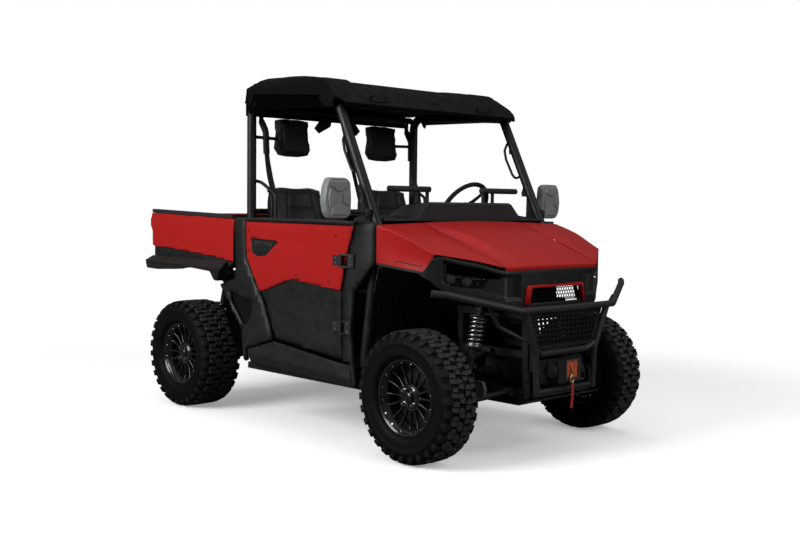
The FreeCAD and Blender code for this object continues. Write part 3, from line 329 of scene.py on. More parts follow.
# Links a socket or a field to a socket, or sets its value.
def feed(tree, target, value):
    if isinstance(value, Field):
        tree.links.new(value.socket, target)
    elif isinstance(value, bpy.types.NodeSocket):
        tree.links.new(value, target)
    elif target.type == "RGBA" and len(value) == 3:
        target.default_value = (*value, 1)
    else:
        target.default_value = value


# One node: its settings are set first, then the values or links of its sockets.
def addNode(tree, kind, settings, sockets):
    node = tree.nodes.new("ShaderNode" + kind)
    for name, value in settings.items():
        setattr(node, name, value)
    for key, value in sockets.items():
        feed(tree, node.inputs[key], value)
    return node


class Field:
    def __init__(self, tree, socket):
        self.tree = tree
        self.socket = socket

    def combine(self, operation, *others):
        node = addNode(self.tree, "Math", {"operation": operation}, dict(enumerate((self, *others))))
        return Field(self.tree, node.outputs[0])

    def __add__(self, other):
        return self.combine("ADD", other)

    def __mul__(self, other):
        return self.combine("MULTIPLY", other)

    def __pow__(self, other):
        return self.combine("POWER", other)

    __radd__ = __add__
    __rmul__ = __mul__

    def wave(self):
        return self.combine("SINE") * 0.5 + 0.5

    def between(self, low, high, start=0.0, end=1.0):
        sockets = {"Value": self, "From Min": low, "From Max": high, "To Min": start, "To Max": end}
        node = addNode(self.tree, "MapRange", {"interpolation_type": "SMOOTHSTEP"}, sockets)
        return Field(self.tree, node.outputs["Result"])


class Surface:
    sockets = {"colour": "Base Color", "rough": "Roughness", "metal": "Metallic", "coat": "Coat Weight",
        "coatRough": "Coat Roughness", "shine": "Specular IOR Level", "sheen": "Sheen Weight",
        "bend": "IOR"}

    def __init__(self, name, slotName):
        self.material = bpy.data.materials.new(name)
        self.material.use_nodes = True
        self.tree = self.material.node_tree
        self.shader = self.tree.nodes["Principled BSDF"]
        self.place = self.tree.nodes.new("ShaderNodeTexCoord").outputs["Object"]
        looks[name] = (self.material, slotName)

    def field(self, kind, output, sockets, settings={}):
        return Field(self.tree, addNode(self.tree, kind, settings, sockets).outputs[output])

    def stretched(self, stretch):
        return self.field("Mapping", "Vector", {"Vector": self.place, "Scale": stretch})

    def noise(self, scale, detail=3, rough=0.5, stretch=(1, 1, 1)):
        return self.field("TexNoise", "Fac", {"Vector": self.stretched(stretch), "Scale": scale,
            "Detail": detail, "Roughness": rough})

    # A roughness that wanders softly between two values.
    def cloudy(self, scale, detail, low, high):
        return self.noise(scale, detail).between(0.3, 0.7, low, high)

    def cells(self, scale):
        return self.field("TexVoronoi", "Distance", {"Vector": self.stretched((1, 1, 1)), "Scale": scale})

    def axis(self, name):
        return self.field("SeparateXYZ", name, {0: self.place})

    def edges(self, low=0.52, high=0.6):
        return self.field("NewGeometry", "Pointiness", {}).between(low, high)

    # Dust that lies on faces turned up and near the ground.
    def dust(self, amount):
        up = self.field("SeparateXYZ", "Z", {0: self.field("NewGeometry", "Normal", {})})
        cloud = self.noise(6, 5, 0.6).between(0.4, 0.75)
        return (self.axis("Z").between(0.9, 0.15) * 0.5 + up.between(0.3, 1.0) * 0.5) * cloud * amount

    def blend(self, factor, first, second):
        return self.field("Mix", 2, {0: factor, 6: first, 7: second}, {"data_type": "RGBA"})

    # Blends a colour, lighter and darker, with soft clouds.
    def clouded(self, clouds, base, low, high):
        return self.blend(clouds, times(base, low), times(base, high))

    def give(self, **values):
        for key, value in values.items():
            feed(self.tree, self.shader.inputs[self.sockets[key]], value)

    def bumps(self, *layers):
        sockets = {}
        for height, strength, depth in layers:
            sockets.update({"Strength": strength, "Distance": depth, "Height": height})
            sockets["Normal"] = self.field("Bump", "Normal", sockets)
        feed(self.tree, self.shader.inputs["Normal"], sockets["Normal"])


def times(colour, share):
    return tuple(part * share for part in colour)


def powderCoat(name, slotName, base, roughness, dust=0.25):
    look = Surface(name, slotName)
    # Lighter edges by pointiness, in patches: partly edge wear, partly a painted highlight.
    wearAndHighlight = look.edges() * look.noise(60, 3).between(0.5, 0.7)
    film = look.dust(dust)
    tint = look.clouded(look.noise(7, 4), base, 0.8, 1.25)
    tint = look.blend(wearAndHighlight * 0.5, tint, (0.07, 0.07, 0.07))
    tint = look.blend(film, tint, (0.13, 0.115, 0.1))
    look.give(colour=tint, rough=look.cloudy(35, 3, roughness - 0.05, roughness + 0.08) + film * 0.4)
    look.bumps((look.noise(420, 2), 0.12, 0.0004), (look.noise(90, 2), 0.06, 0.0008))


def mouldedPlastic(name, slotName, base, roughness, grain=900, dust=0.3, shine=0.5):
    look = Surface(name, slotName)
    film = look.dust(dust)
    scuffs = look.noise(40, 4, 0.6, (1, 4, 4)).between(0.62, 0.8)
    tint = look.clouded(look.noise(5, 4), base, 0.78, 1.3)
    # Lighter edges by pointiness: partly wear, partly a painted highlight.
    tint = look.blend(look.edges(0.53, 0.62) * 0.4, tint, times(base, 3))
    tint = look.blend(scuffs * 0.25, tint, times(base, 2.2))
    tint = look.blend(film, tint, (0.12, 0.108, 0.094))
    rough = look.cloudy(22, 3, roughness - 0.06, roughness + 0.08) + film * 0.3
    look.give(colour=tint, rough=rough, shine=shine)
    look.bumps((look.cells(grain), 0.22, 0.0005), (look.noise(130, 2), 0.08, 0.001))


def redPaint(name, slotName):
    look = Surface(name, slotName)
    tint = look.blend(look.noise(3, 3), (0.53, 0.02, 0.0185), (0.6, 0.025, 0.023))
    tint = look.blend(look.cells(2600).between(0.0, 0.35, 0.35, 0.0), tint, (0.7, 0.035, 0.028))
    tint = look.blend(look.dust(0.05), tint, (0.42, 0.1, 0.08))
    scratch = look.noise(9, 6, 0.7, (1, 1, 14)).between(0.66, 0.74)
    look.give(colour=tint, rough=look.cloudy(30, 2, 0.3, 0.36) + scratch * 0.1, coat=0.02, shine=0.1,
        coatRough=0.09)
    look.bumps((look.noise(170, 2), 0.05, 0.0006), (scratch, 0.03, 0.0004))


def rubber(name, slotName, base, roughness, wearAndHighlight=1.0):
    look = Surface(name, slotName)
    film = look.noise(14, 5, 0.65).between(0.42, 0.72)
    tint = look.clouded(look.noise(3, 3), base, 0.85, 1.2)
    tint = look.blend(film * (0.1 * wearAndHighlight), tint, (0.04, 0.04, 0.038))
    # Lighter edges by pointiness: partly wear, partly a painted highlight.
    tint = look.blend(look.edges(0.53, 0.6) * (0.5 * wearAndHighlight), tint, (0.08, 0.081, 0.077))
    look.give(colour=tint, rough=look.cloudy(50, 3, roughness - 0.07, roughness + 0.1),
        shine=0.12 + 0.2 * wearAndHighlight)
    look.bumps((look.noise(700, 3), 0.25, 0.0004), (look.noise(60, 4), 0.15, 0.0012))


def metal(name, slotName, base, roughness):
    look = Surface(name, slotName)
    lines = look.noise(260, 3, 0.6, (1, 1, 8))
    tint = look.blend(look.noise(18, 4).between(0.45, 0.8) * 0.6, base, times(base, 0.55))
    look.give(colour=tint, metal=1.0, rough=lines.between(0.2, 0.8, roughness - 0.08, roughness + 0.12))
    look.bumps((lines, 0.08, 0.0004), (look.noise(120, 3), 0.12, 0.0006))


def glossPaint(name, slotName, base):
    look = Surface(name, slotName)
    film = look.noise(16, 5, 0.6).between(0.5, 0.78)
    tint = look.blend(film * 0.2, base, (0.05, 0.048, 0.044))
    look.give(colour=tint, rough=look.cloudy(40, 3, 0.16, 0.26) + film * 0.15, coat=0.6, coatRough=0.06)
    look.bumps((look.noise(240, 2), 0.04, 0.0005))


def seatVinyl(name, slotName, base):
    look = Surface(name, slotName)
    pores = look.cells(620)
    folds = look.noise(36, 3)
    tint = look.clouded(look.noise(8, 3), base, 0.8, 1.3)
    tint = look.blend(pores.between(0.0, 0.5, 0.4, 0.0), tint, times(base, 0.4))
    look.give(colour=tint, rough=folds.between(0.3, 0.7, 0.46, 0.6), sheen=0.12)
    look.bumps((pores, 0.35, 0.0007), (folds, 0.2, 0.0018))


def webbing(name, slotName, base):
    look = Surface(name, slotName)
    weave = (look.axis("Z") * 2600).wave() * (look.axis("Y") * 1500).wave()
    look.give(colour=look.clouded(weave, base, 0.5, 1.5), rough=weave.between(0, 1, 0.6, 0.75), sheen=0.2)
    look.bumps((weave, 0.5, 0.0006))


def lens(name, slotName, base):
    look = Surface(name, slotName)
    haze = look.noise(20, 3).between(0.4, 0.7)
    bright = tuple(min(1, part * 1.4 + 0.01) for part in base)
    look.give(colour=look.blend(haze * 0.3, base, bright), rough=haze * 0.06 + 0.03, coat=0.8,
        coatRough=0.03, bend=1.49)
    look.bumps(((look.axis("Y") * 900).wave(), 0.05, 0.0005))


def mirrorGlass(name, slotName):
    look = Surface(name, slotName)
    look.give(colour=look.blend(look.noise(12, 3), (0.78, 0.8, 0.82), (0.86, 0.87, 0.88)), metal=1.0,
        rough=look.cloudy(40, 2, 0.03, 0.07))


def clearCover(name, slotName):
    look = Surface(name, slotName)
    tree = look.tree
    haze = look.noise(24, 4).between(0.55, 0.8) * 0.05
    edge = look.field("Fresnel", 0, {"IOR": 1.5}) + haze
    both = addNode(tree, "MixShader", {}, {0: edge.combine("MINIMUM", 1.0),
        1: addNode(tree, "BsdfTransparent", {}, {"Color": (0.86, 0.88, 0.9)}).outputs[0],
        2: addNode(tree, "BsdfGlossy", {}, {"Roughness": 0.03}).outputs[0]})
    feed(tree, tree.nodes["Material Output"].inputs["Surface"], both.outputs[0])


powderCoat("framePaint", "frame_black", (0.02, 0.0212, 0.0212), 0.48)
# A darker copy of the frame paint for parts behind and under the body: painted shade.
powderCoat("shadedFramePaint", "frame_black", (0.004, 0.0042, 0.0044), 0.6, 0.1)
powderCoat("cagePaint", "cage_black", (0.0085, 0.009, 0.0095), 0.42, 0.05)
redPaint("redPaint", "body_red")
mouldedPlastic("blackPlastic", "body_black", (0.0078, 0.0088, 0.0086), 0.5)
mouldedPlastic("sillPlastic", "body_black", (0.014, 0.0155, 0.015), 0.48)
mouldedPlastic("roofPlastic", "roof_black", (0.003, 0.0031, 0.0031), 0.5, 700, 0.0, 0.07)
mouldedPlastic("meshPlastic", "mesh_black", (0.002, 0.0022, 0.0023), 0.45, 1200, 0.0, 0.25)
mouldedPlastic("mirrorPlastic", "mirror_shell", (0.28, 0.296, 0.288), 0.42, 900, 0.0)
mouldedPlastic("deepShade", "body_black", (0.0008, 0.0008, 0.0008), 0.85, 600, 0.0, 0.02)
mouldedPlastic("casePlastic", "battery_case", (0.02, 0.02, 0.021), 0.6)
mouldedPlastic("innerPlastic", "body_black", (0.0045, 0.0048, 0.005), 0.6, 800, 0.0)
rubber("tyreRubber", "tyre_rubber", (0.013, 0.0142, 0.0133), 0.68)
rubber("tyreWall", "tyre_rubber", (0.002, 0.0022, 0.0021), 0.62, 0.25)
rubber("gripRubber", "body_black", (0.01, 0.01, 0.011), 0.6)
glossPaint("rimPaint", "rim_black", (0.007, 0.0075, 0.008))
mouldedPlastic("castGrey", "bare_alloy", (0.11, 0.11, 0.105), 0.55, 500, 0.0)
metal("alloy", "bare_alloy", (0.4, 0.4, 0.385), 0.45)
metal("springSteel", "spring_steel", (0.62, 0.63, 0.64), 0.28)
metal("shaftSteel", "shaft_steel", (0.3, 0.3, 0.3), 0.38)
metal("boltSteel", "shaft_steel", (0.66, 0.67, 0.68), 0.22)
metal("hookZinc", "bare_alloy", (0.72, 0.58, 0.3), 0.35)
seatVinyl("seatVinyl", "seat_cover", (0.012, 0.0125, 0.013))
webbing("beltWeb", "belt_web", (0.013, 0.013, 0.014))
webbing("strapWeb", "belt_web", (0.8, 0.02, 0.02))
webbing("ropeWeb", "belt_web", (1.0, 0.2, 0.05))
lens("lampLens", "lamp_lens", (0.03, 0.032, 0.035))
lens("lampClear", "lamp_lens", (0.75, 0.78, 0.8))
lens("redLens", "lamp_red", (0.35, 0.008, 0.008))
mirrorGlass("mirrorGlass", "mirror_shell")
clearCover("clearCover", "lamp_lens")

# Wheels: carcass, tread blocks, shoulder lugs, rim with paired spokes
print("stage: wheels")
tyreRadius = 0.33
treadPitches = 30
groove = 0.0125
wheelSet = [
    ("front_left", 1.015, 0.6755, 0.215, 1), ("front_right", 1.015, -0.6755, 0.215, -1),
    ("rear_left", -1.015, 0.647, 0.272, 1), ("rear_right", -1.015, -0.647, 0.272, -1),
]


# A place at some radius, offset and angle round a wheel's axis.
def around(centre, radius, out, angle):
    return (centre[0] + radius * math.cos(angle), centre[1] + out, centre[2] + radius * math.sin(angle))


# Height of the tread's top across the tyre: nearly flat, then rounding off at the shoulder.
def crown(y, half):
    share = abs(y) / half
    return tyreRadius - 0.004 * share**2 - 0.020 * smoothStep(0.72, 1.0, share)


def treadBlock(bm, spots, half, centre):
    middle = Vector((sum(a for a, y in spots) / len(spots), sum(y for a, y in spots) / len(spots)))
    rings = []
    for inset, drop in ((1.05, -groove - 0.004), (1.03, -0.0015), (0.93, 0.0)):
        ring = []
        for a, y in spots:
            a = middle[0] + (a - middle[0]) * inset
            y = middle[1] + (y - middle[1]) * inset
            ring.append(around(centre, crown(y, half) + drop, y, a / tyreRadius))
        rings.append(ring)
    loft(bm, rings)


# A narrow slot splits each tread block in two.
def halves(spots):
    slot = 0.0034
    first, (a, y), third, fourth, (b, z), last = spots
    return [first, (a - slot, y), (b - slot, z), last], [(a + slot, y), third, fourth, (b + slot, z)]


def makeTyre(name, x, y, width):
    half = width / 2
    centre = Vector((x, y, tyreRadius))
    rimHalf = width * 0.4
    top = tyreRadius - groove
    bm = bmesh.new()
    outer = [(0.1775, rimHalf - 0.0085), (0.1905, rimHalf - 0.0085), (0.1925, rimHalf - 0.002),
        (0.197, rimHalf + 0.006), (0.206, rimHalf + 0.0125), (0.212, half * 0.955), (0.2155, half * 0.965),
        (0.2175, half * 0.955), (0.222, half * 0.962), (0.24, half * 0.975), (0.262, half * 0.975),
        (0.264, half * 0.985), (0.268, half * 0.985), (0.27, half * 0.972), (0.288, half * 0.95),
        (0.302, half * 0.89), (0.311, half * 0.8), (top - 0.0015, half * 0.62), (top, half * 0.3)]
    profile = outer + [(r, -w) for r, w in reversed(outer)]
    spin(bm, profile, centre, 96, closed=False)
    pitch = 2 * math.pi * tyreRadius / treadPitches
    for n in range(treadPitches):
        for hand in (1, -1):
            place = (n + (0.95 if hand > 0 else 1.45)) * pitch
            shoulderLug(bm, place, hand, half, centre, 1.0 if n % 2 else 0.92, n % 2)
    makePiece("tyre_look_" + name, bm, "tyreWall", ["tyre_" + name], body="wheel_" + name, angle=32)
    bm = bmesh.new()
    for n in range(treadPitches):
        s = n * pitch
        size = 1.0 if n % 2 else 0.92
        for hand in (1, -1):
            t = s + (0 if hand > 0 else pitch * 0.5)
            inner = [(t - 0.026 * size, 0.004), (t + 0.006, 0.004), (t + 0.024 * size, 0.014),
                (t + 0.03 * size, half * 0.33), (t - 0.002, half * 0.37), (t - 0.02 * size, half * 0.29)]
            for part in halves(inner):
                treadBlock(bm, [(a, hand * b) for a, b in part], half, centre)
            t += pitch * 0.45
            outerBlock = [(t - 0.027 * size, half * 0.36), (t - 0.002, half * 0.41),
                (t + 0.025 * size, half * 0.37), (t + 0.028 * size, half * 0.66), (t + 0.003, half * 0.71),
                (t - 0.024 * size, half * 0.66)]
            for part in halves(outerBlock):
                treadBlock(bm, [(a, hand * b) for a, b in part], half, centre)
    makePiece("tyre_tread_" + name, bm, "tyreRubber", body="wheel_" + name, angle=32)


# A shoulder lug wraps from the tread's edge down the sidewall.
def shoulderLug(bm, s, hand, half, centre, size, long):
    reach = 0.278 if long else 0.286
    path = [(0.325, half * 0.735, 0.0), (0.3215, half * 0.86, 0.0), (0.3125, half * 0.955, 0.001),
        (0.303, half * 0.994, 0.002), (0.295, half * 0.99, 0.003), (reach, half * 0.972, 0.004)]
    widths = [0.021, 0.022, 0.021, 0.018, 0.014, 0.008]
    low = [(0.308, half * 0.72), (0.305, half * 0.82), (0.300, half * 0.89), (0.292, half * 0.93),
        (0.287, half * 0.935), (reach - 0.001, half * 0.945)]
    rings = []
    for (r, w, skew), broad, (lowR, lowW) in zip(path, widths, low):
        broad *= size
        ring = []
        for offset, radius, reachOut in ((-broad, lowR, lowW), (-broad * 0.86, r, w), (broad * 0.86, r, w),
                (broad, lowR, lowW)):
            angle = (s + offset + skew) / tyreRadius
            ring.append(around(centre, radius, hand * reachOut, angle))
        rings.append(ring)
    loft(bm, rings)


def makeRim(name, x, y, width, side):
    w = width * 0.4
    centre = Vector((x, y, tyreRadius))
    bm = bmesh.new()
    profile = [(0.1895, w), (0.19, w - 0.003), (0.1885, w - 0.007), (0.178, w - 0.0085), (0.1765, w - 0.02),
        (0.163, w - 0.034), (0.16, w - 0.04), (0.16, -w + 0.04), (0.163, -w + 0.034), (0.1765, -w + 0.02),
        (0.178, -w + 0.0085), (0.1885, -w + 0.007), (0.19, -w + 0.003), (0.1895, -w), (0.186, -w),
        (0.181, -w + 0.004), (0.171, -w + 0.012), (0.157, -w + 0.036), (0.1545, -w + 0.05),
        (0.1545, w - 0.052), (0.157, w - 0.04), (0.1675, w - 0.018), (0.1745, w - 0.012),
        (0.176, w - 0.007), (0.182, w - 0.0025), (0.186, w)]
    spin(bm, [(r, side * q) for r, q in profile], centre, 72, closed=True)
    face = w - 0.038
    dish = [(r, face + out) for r, out in mm(32, -30, 32, 4, 37, 8, 52, 8, 58, 4, 66, -2, 71, -12, 71, -22,
        60, -30)]
    spin(bm, [(r, side * q) for r, q in dish], centre, 48, closed=True)
    for n in range(8):
        for lean in (-1, 1):
            spoke(bm, centre, side, face, 2 * math.pi * (n + 0.25) / 8, lean)
    makePiece("rim_look_" + name, bm, "rimPaint", ["rim_" + name], body="wheel_" + name, angle=40,
        bevel=0.0012)
    bm = bmesh.new()
    for n in range(4):
        angle = 2 * math.pi * (n + 0.5) / 4
        bolt(bm, around(centre, 0.045, side * (face + 0.0075), angle), (0, side, 0), 0.0085, 0.016)
    for n in range(16):
        angle = 2 * math.pi * (n + 0.5) / 16
        bolt(bm, around(centre, 0.1715, side * (w - 0.0135), angle),
            (-0.5 * math.cos(angle), side, -0.5 * math.sin(angle)), 0.0034, 0.004)
    makePiece("rim_bolts_" + name, bm, "boltSteel", body="wheel_" + name, angle=25)
    bm = bmesh.new()
    cap = [(r, face + out) for r, out in mm(0, 22, 12, 21.5, 24, 19, 29.5, 14, 31, 4, 31, -10)]
    spin(bm, [(max(r, 0.0004), side * q) for r, q in cap], centre, 36, closed=False)
    makePiece("rim_cap_" + name, bm, "rimPaint", body="wheel_" + name, angle=40)
    bm = bmesh.new()
    drum = [(r, face + out) for r, out in mm(30, -30, 34, -50, 100, -56, 146, -60, 151, -66, 151, -76, 140,
        -82, 60, -86, 30, -90)]
    spin(bm, [(r, side * q) for r, q in drum], centre, 48, closed=True)
    makePiece("rim_drum_" + name, bm, "innerPlastic", body="wheel_" + name, angle=35)


def spoke(bm, centre, side, face, middle, lean):
    stations = [(0.062, 0.010, 0.0055, 0.000, 0.016), (0.085, 0.016, 0.0055, -0.003, 0.016),
        (0.115, 0.0215, 0.005, -0.004, 0.014), (0.14, 0.0255, 0.005, 0.000, 0.012),
        (0.1585, 0.0285, 0.006, 0.006, 0.012)]
    rings = []
    for r, offset, broad, rise, deep in stations:
        ring = []
        for shift, out in ((-broad, rise - deep), (broad, rise - deep), (broad, rise - 0.002),
                (broad * 0.55, rise), (-broad * 0.55, rise), (-broad, rise - 0.002)):
            angle = middle + (lean * offset + shift) / r
            ring.append(around(centre, r, side * (face + out), angle))
        rings.append(ring)
    loft(bm, rings)


for wheel in wheelSet:
    makeTyre(*wheel[:4])
    makeRim(*wheel)

# Front body: hood, fenders, nose, lamps, grille
print("stage: front body")
front = {
    "rear": 0.758, "centre": mm(757, 1186, 940, 1141, 1115, 1079, 1240, 1023, 1313, 984, 1345, 966),
    "shoulder": mm(757, 1180, 940, 1129, 1115, 1062, 1240, 1005, 1313, 967, 1345, 950),
    "edge": mm(757, 1165, 840, 1142, 940, 1108, 1050, 1058, 1115, 1030, 1220, 985, 1345, 925),
    "width": mm(757, 721.5, 940, 699.5, 1115, 663.5, 1313, 639.5, 1345, 639.5),
    "low": mm(757, 970.5, 802, 965, 911, 951, 1000, 942, 1058, 934),
}


# Height of the painted front, with the raised middle of the hood and the valley beside it.
def frontHeight(x, y):
    wide = along(front["width"], x)
    y = abs(y)
    base = curve([(-0.2, curve(front["centre"], x)), (0.0, curve(front["centre"], x)),
        (0.385, curve(front["shoulder"], x)), (wide, curve(front["edge"], x) + 0.004)], y)
    fade = smoothStep(0.77, 0.9, x) * (1 - smoothStep(1.12, 1.31, x))
    ridge = mix(0.33, 0.27, smoothStep(0.78, 1.3, x))
    valley = math.exp(-((y - ridge - 0.075) / 0.052) ** 2)
    raised = 1 - smoothStep(ridge - 0.03, ridge + 0.03, y)
    notch = smoothStep(ridge - 0.012, ridge + 0.022, y) * smoothStep(ridge + 0.062, ridge + 0.05, y)
    notch *= smoothStep(0.87, 1.0, x) * smoothStep(1.15, 1.09, x)
    return base + 0.002 * raised - 0.016 * valley * fade - 0.009 * notch - 0.003


def gapLine(x):
    return mix(0.398, 0.369, (x - 0.758) / 0.587)


def noseReach(y):
    y = abs(y)
    if y < 0.371:
        return 1.337 - 0.023 * (y / 0.371) ** 1.6
    return 1.314 - (y - 0.371) * 0.198 / 0.293


def makeHood():
    bm = bmesh.new()

    def spot(u, v):
        side = 2 * u - 1
        shape = math.copysign(abs(side) ** 0.85, side)
        if v <= 0.9:
            share = v / 0.9
            guess = 1.33
            for n in range(3):
                y = shape * (gapLine(mix(0.758, guess, share)) - 0.0035)
                guess = noseReach(y) - 0.001
            x = mix(0.758, guess, share)
            return (x, y, frontHeight(x, y))
        drop = (v - 0.9) / 0.1
        y = shape * (gapLine(1.33) - 0.0035)
        x = noseReach(y) - 0.001
        return (x - 0.004 * drop, y, frontHeight(x, y) - 0.02 * drop)

    sheetGrid(bm, spot, 64, 44)
    makePiece("hood_panel", bm, "redPaint", ["hood"], body="hood", angle=50, thick=0.004, rounds=1,
        facing=(0, 0, 1))
    bm = bmesh.new()
    for side in (-1, 1):
        y = side * 0.34
        polygon(bm, mm(773, 1140, 781, 1136, 793, 1138, 845, 1138, 845, 1146, 800, 1158, 773, 1168), "y",
            y - 0.006, y + 0.006)
    makePiece("hood_hinge_arms", bm, "framePaint", body="hood", bevel=0.0015)


# A fender is one skin: its top from the hood's gap to the crown, then down its flank to the wheel arch.
def makeFender(side):
    bm = bmesh.new()

    def spot(u, v):
        if u <= 0.62:
            share = (u / 0.62) ** 0.9
            reach = mix(1.3125, 1.115, share)
            x = mix(0.758, reach, v)
            y = mix(gapLine(x) + 0.003, along(front["width"], x), share)
            return (x, side * y, frontHeight(x, y))
        down = (u - 0.62) / 0.38
        x = mix(0.758, mix(1.115, 1.058, down), v)
        wide = along(front["width"], x)
        top = frontHeight(x, wide)
        z = mix(top, along(front["low"], min(x, 1.058)), down)
        hollow = 0.008 * math.sin(math.pi * down) * smoothStep(0.76, 0.85, x)
        return (x, side * (wide - hollow - 0.002 * down), z)

    sheetGrid(bm, spot, 40, 30)
    makePiece("fender_look_" + sideName(side), bm, "redPaint", ["front_fenders"], angle=50, thick=0.004,
        rounds=1, facing=(0, side, 1))


def makeFenderTrim(side):
    bm = bmesh.new()
    lip = []
    for n in range(13):
        x = mix(0.76, 1.056, n / 12)
        lip.append((x, side * (along(front["width"], x) - 0.006), along(front["low"], x) + 0.001))
    sweep(bm, lip, mm(-7, -3, 5, -4, 6, 4, -6, 4), (0, side, 0))
    makePiece("fender_lip_" + sideName(side), bm, "blackPlastic")


# The nose follows this line in plan, from the centre to the corner below the fender.
noseLine = [(0.0, 1.339, 0.0), (0.1, 1.337, 0.1), (0.2, 1.3305, 0.199), (0.3, 1.3215, 0.299),
    (0.36, 1.3145, 0.357), (0.4, 1.296, 0.394), (0.5, 1.24, 0.476), (0.6, 1.184, 0.559),
    (0.7, 1.1285, 0.642), (0.76, 1.087, 0.684), (0.8, 1.055, 0.7045)]


noseAhead = [(a, b) for a, b, c in noseLine]
noseAcross = [(a, c) for a, b, c in noseLine]


def nosePoint(s, out, z):
    place = abs(s)
    x, y = curve(noseAhead, place), curve(noseAcross, place)
    ahead = curve(noseAhead, place + 0.004) - curve(noseAhead, place - 0.004)
    across = curve(noseAcross, place + 0.004) - curve(noseAcross, place - 0.004)
    size = math.hypot(ahead, across) or 1
    if place < 0.004:
        ahead, across, size = 0, 1, 1
    x, y = x + out * across / size, y - out * ahead / size
    return (x, math.copysign(y, s) if s else y, z)


noseTop = mm(0, 951, 360, 950.5, 400, 955.5, 500, 983, 600, 1002, 700, 1020, 745, 1000, 760, 975, 800, 932)
noseLow = mm(0, 758, 300, 756, 360, 757, 420, 772, 500, 790, 550, 803, 600, 814, 650, 829, 700, 862, 740,
    893, 800, 926)


def noseDepth(s, share):
    s = abs(s)
    brow = 1 - smoothStep(0.1, 0.16, share)
    foot = smoothStep(0.69, 0.76, share)
    lampZone = smoothStep(0.352, 0.365, s) * (1 - smoothStep(0.665, 0.69, s))
    ribZone = smoothStep(0.262, 0.27, s) * (1 - smoothStep(0.352, 0.362, s))
    depth = -0.003 - (1 - brow) * (1 - foot) * max(0.024 * lampZone, 0.012 * ribZone)
    if ribZone > 0.5 and brow < 0.3 and foot < 0.3:
        depth += 0.0045 * (0.5 + 0.5 * math.cos(2 * math.pi * (s - 0.262) / 0.0125))
    return depth - 0.004 * (1 - smoothStep(0, 0.04, share)) - 0.004 * smoothStep(0.96, 1, share)


def outlineEdges(outline):
    return zip(outline, outline[1:] + outline[:1])


# Nearest point of a closed outline, for edges cut out of a skin.
def nearestOnOutline(outline, y, z):
    best = None
    for (ya, za), (yb, zb) in outlineEdges(outline):
        length = (yb - ya) ** 2 + (zb - za) ** 2
        share = max(0.0, min(1.0, ((y - ya) * (yb - ya) + (z - za) * (zb - za)) / length))
        py, pz = mix(ya, yb, share), mix(za, zb, share)
        away = math.hypot(y - py, z - pz)
        if best is None or away < best[0]:
            best = (away, py, pz)
    return best


def insideOutline(outline, y, z):
    inside = False
    for (ya, za), (yb, zb) in outlineEdges(outline):
        if (za > z) != (zb > z) and y < ya + (z - za) * (yb - ya) / (zb - za):
            inside = not inside
    return inside


# Deletes the faces inside an outline of (x, z) points, or of (y, z) points where the axis is 1.
def dropInside(bm, outline, axis):
    doomed = []
    for f in bm.faces:
        centre = f.calc_center_median()
        if insideOutline(outline, centre[axis], centre.z):
            doomed.append(f)
    bmesh.ops.delete(bm, geom=doomed, context="FACES")


# Cuts a window into a skin that faces forward: its nearest points slide onto the outline first.
def cutWindow(bm, outline, reach):
    for v in bm.verts:
        away, y, z = nearestOnOutline(outline, v.co.y, v.co.z)
        if away < reach:
            v.co.y, v.co.z = y, z
    dropInside(bm, outline, 1)


lampHole = mm(437, 906, 452, 868, 589, 877, 624, 943, 520, 920, 445, 912)
grilleHole = mm(-212, 784, -200, 855, -190, 862, 190, 862, 200, 855, 212, 784)


def makeNose():
    bm = bmesh.new()

    def spot(u, v):
        s = 0.8 * (2 * u - 1)
        z = mix(curve(noseTop, abs(s)), curve(noseLow, abs(s)), v)
        return nosePoint(s, noseDepth(s, v), z)

    sheetGrid(bm, spot, 400, 30)
    for side in (-1, 1):
        cutWindow(bm, [(side * y, z) for y, z in lampHole], 0.0034)
    cutWindow(bm, grilleHole, 0.0034)
    makePiece("nose_look", bm, "blackPlastic", ["nose_fascia"], angle=42, thick=0.004, facing=(1, 0, 0))
    bm = bmesh.new()
    for side in (-1, 1):
        low, high = span(side, 0.15, 0.252)
        brick(bm, (1.29, low, 0.7365), (1.314, high, 0.752))
        low, high = span(side, 0.228, 0.252)
        brick(bm, (1.29, low, 0.74), (1.314, high, 0.83))
    makePiece("nose_brackets", bm, "framePaint", bevel=0.003)


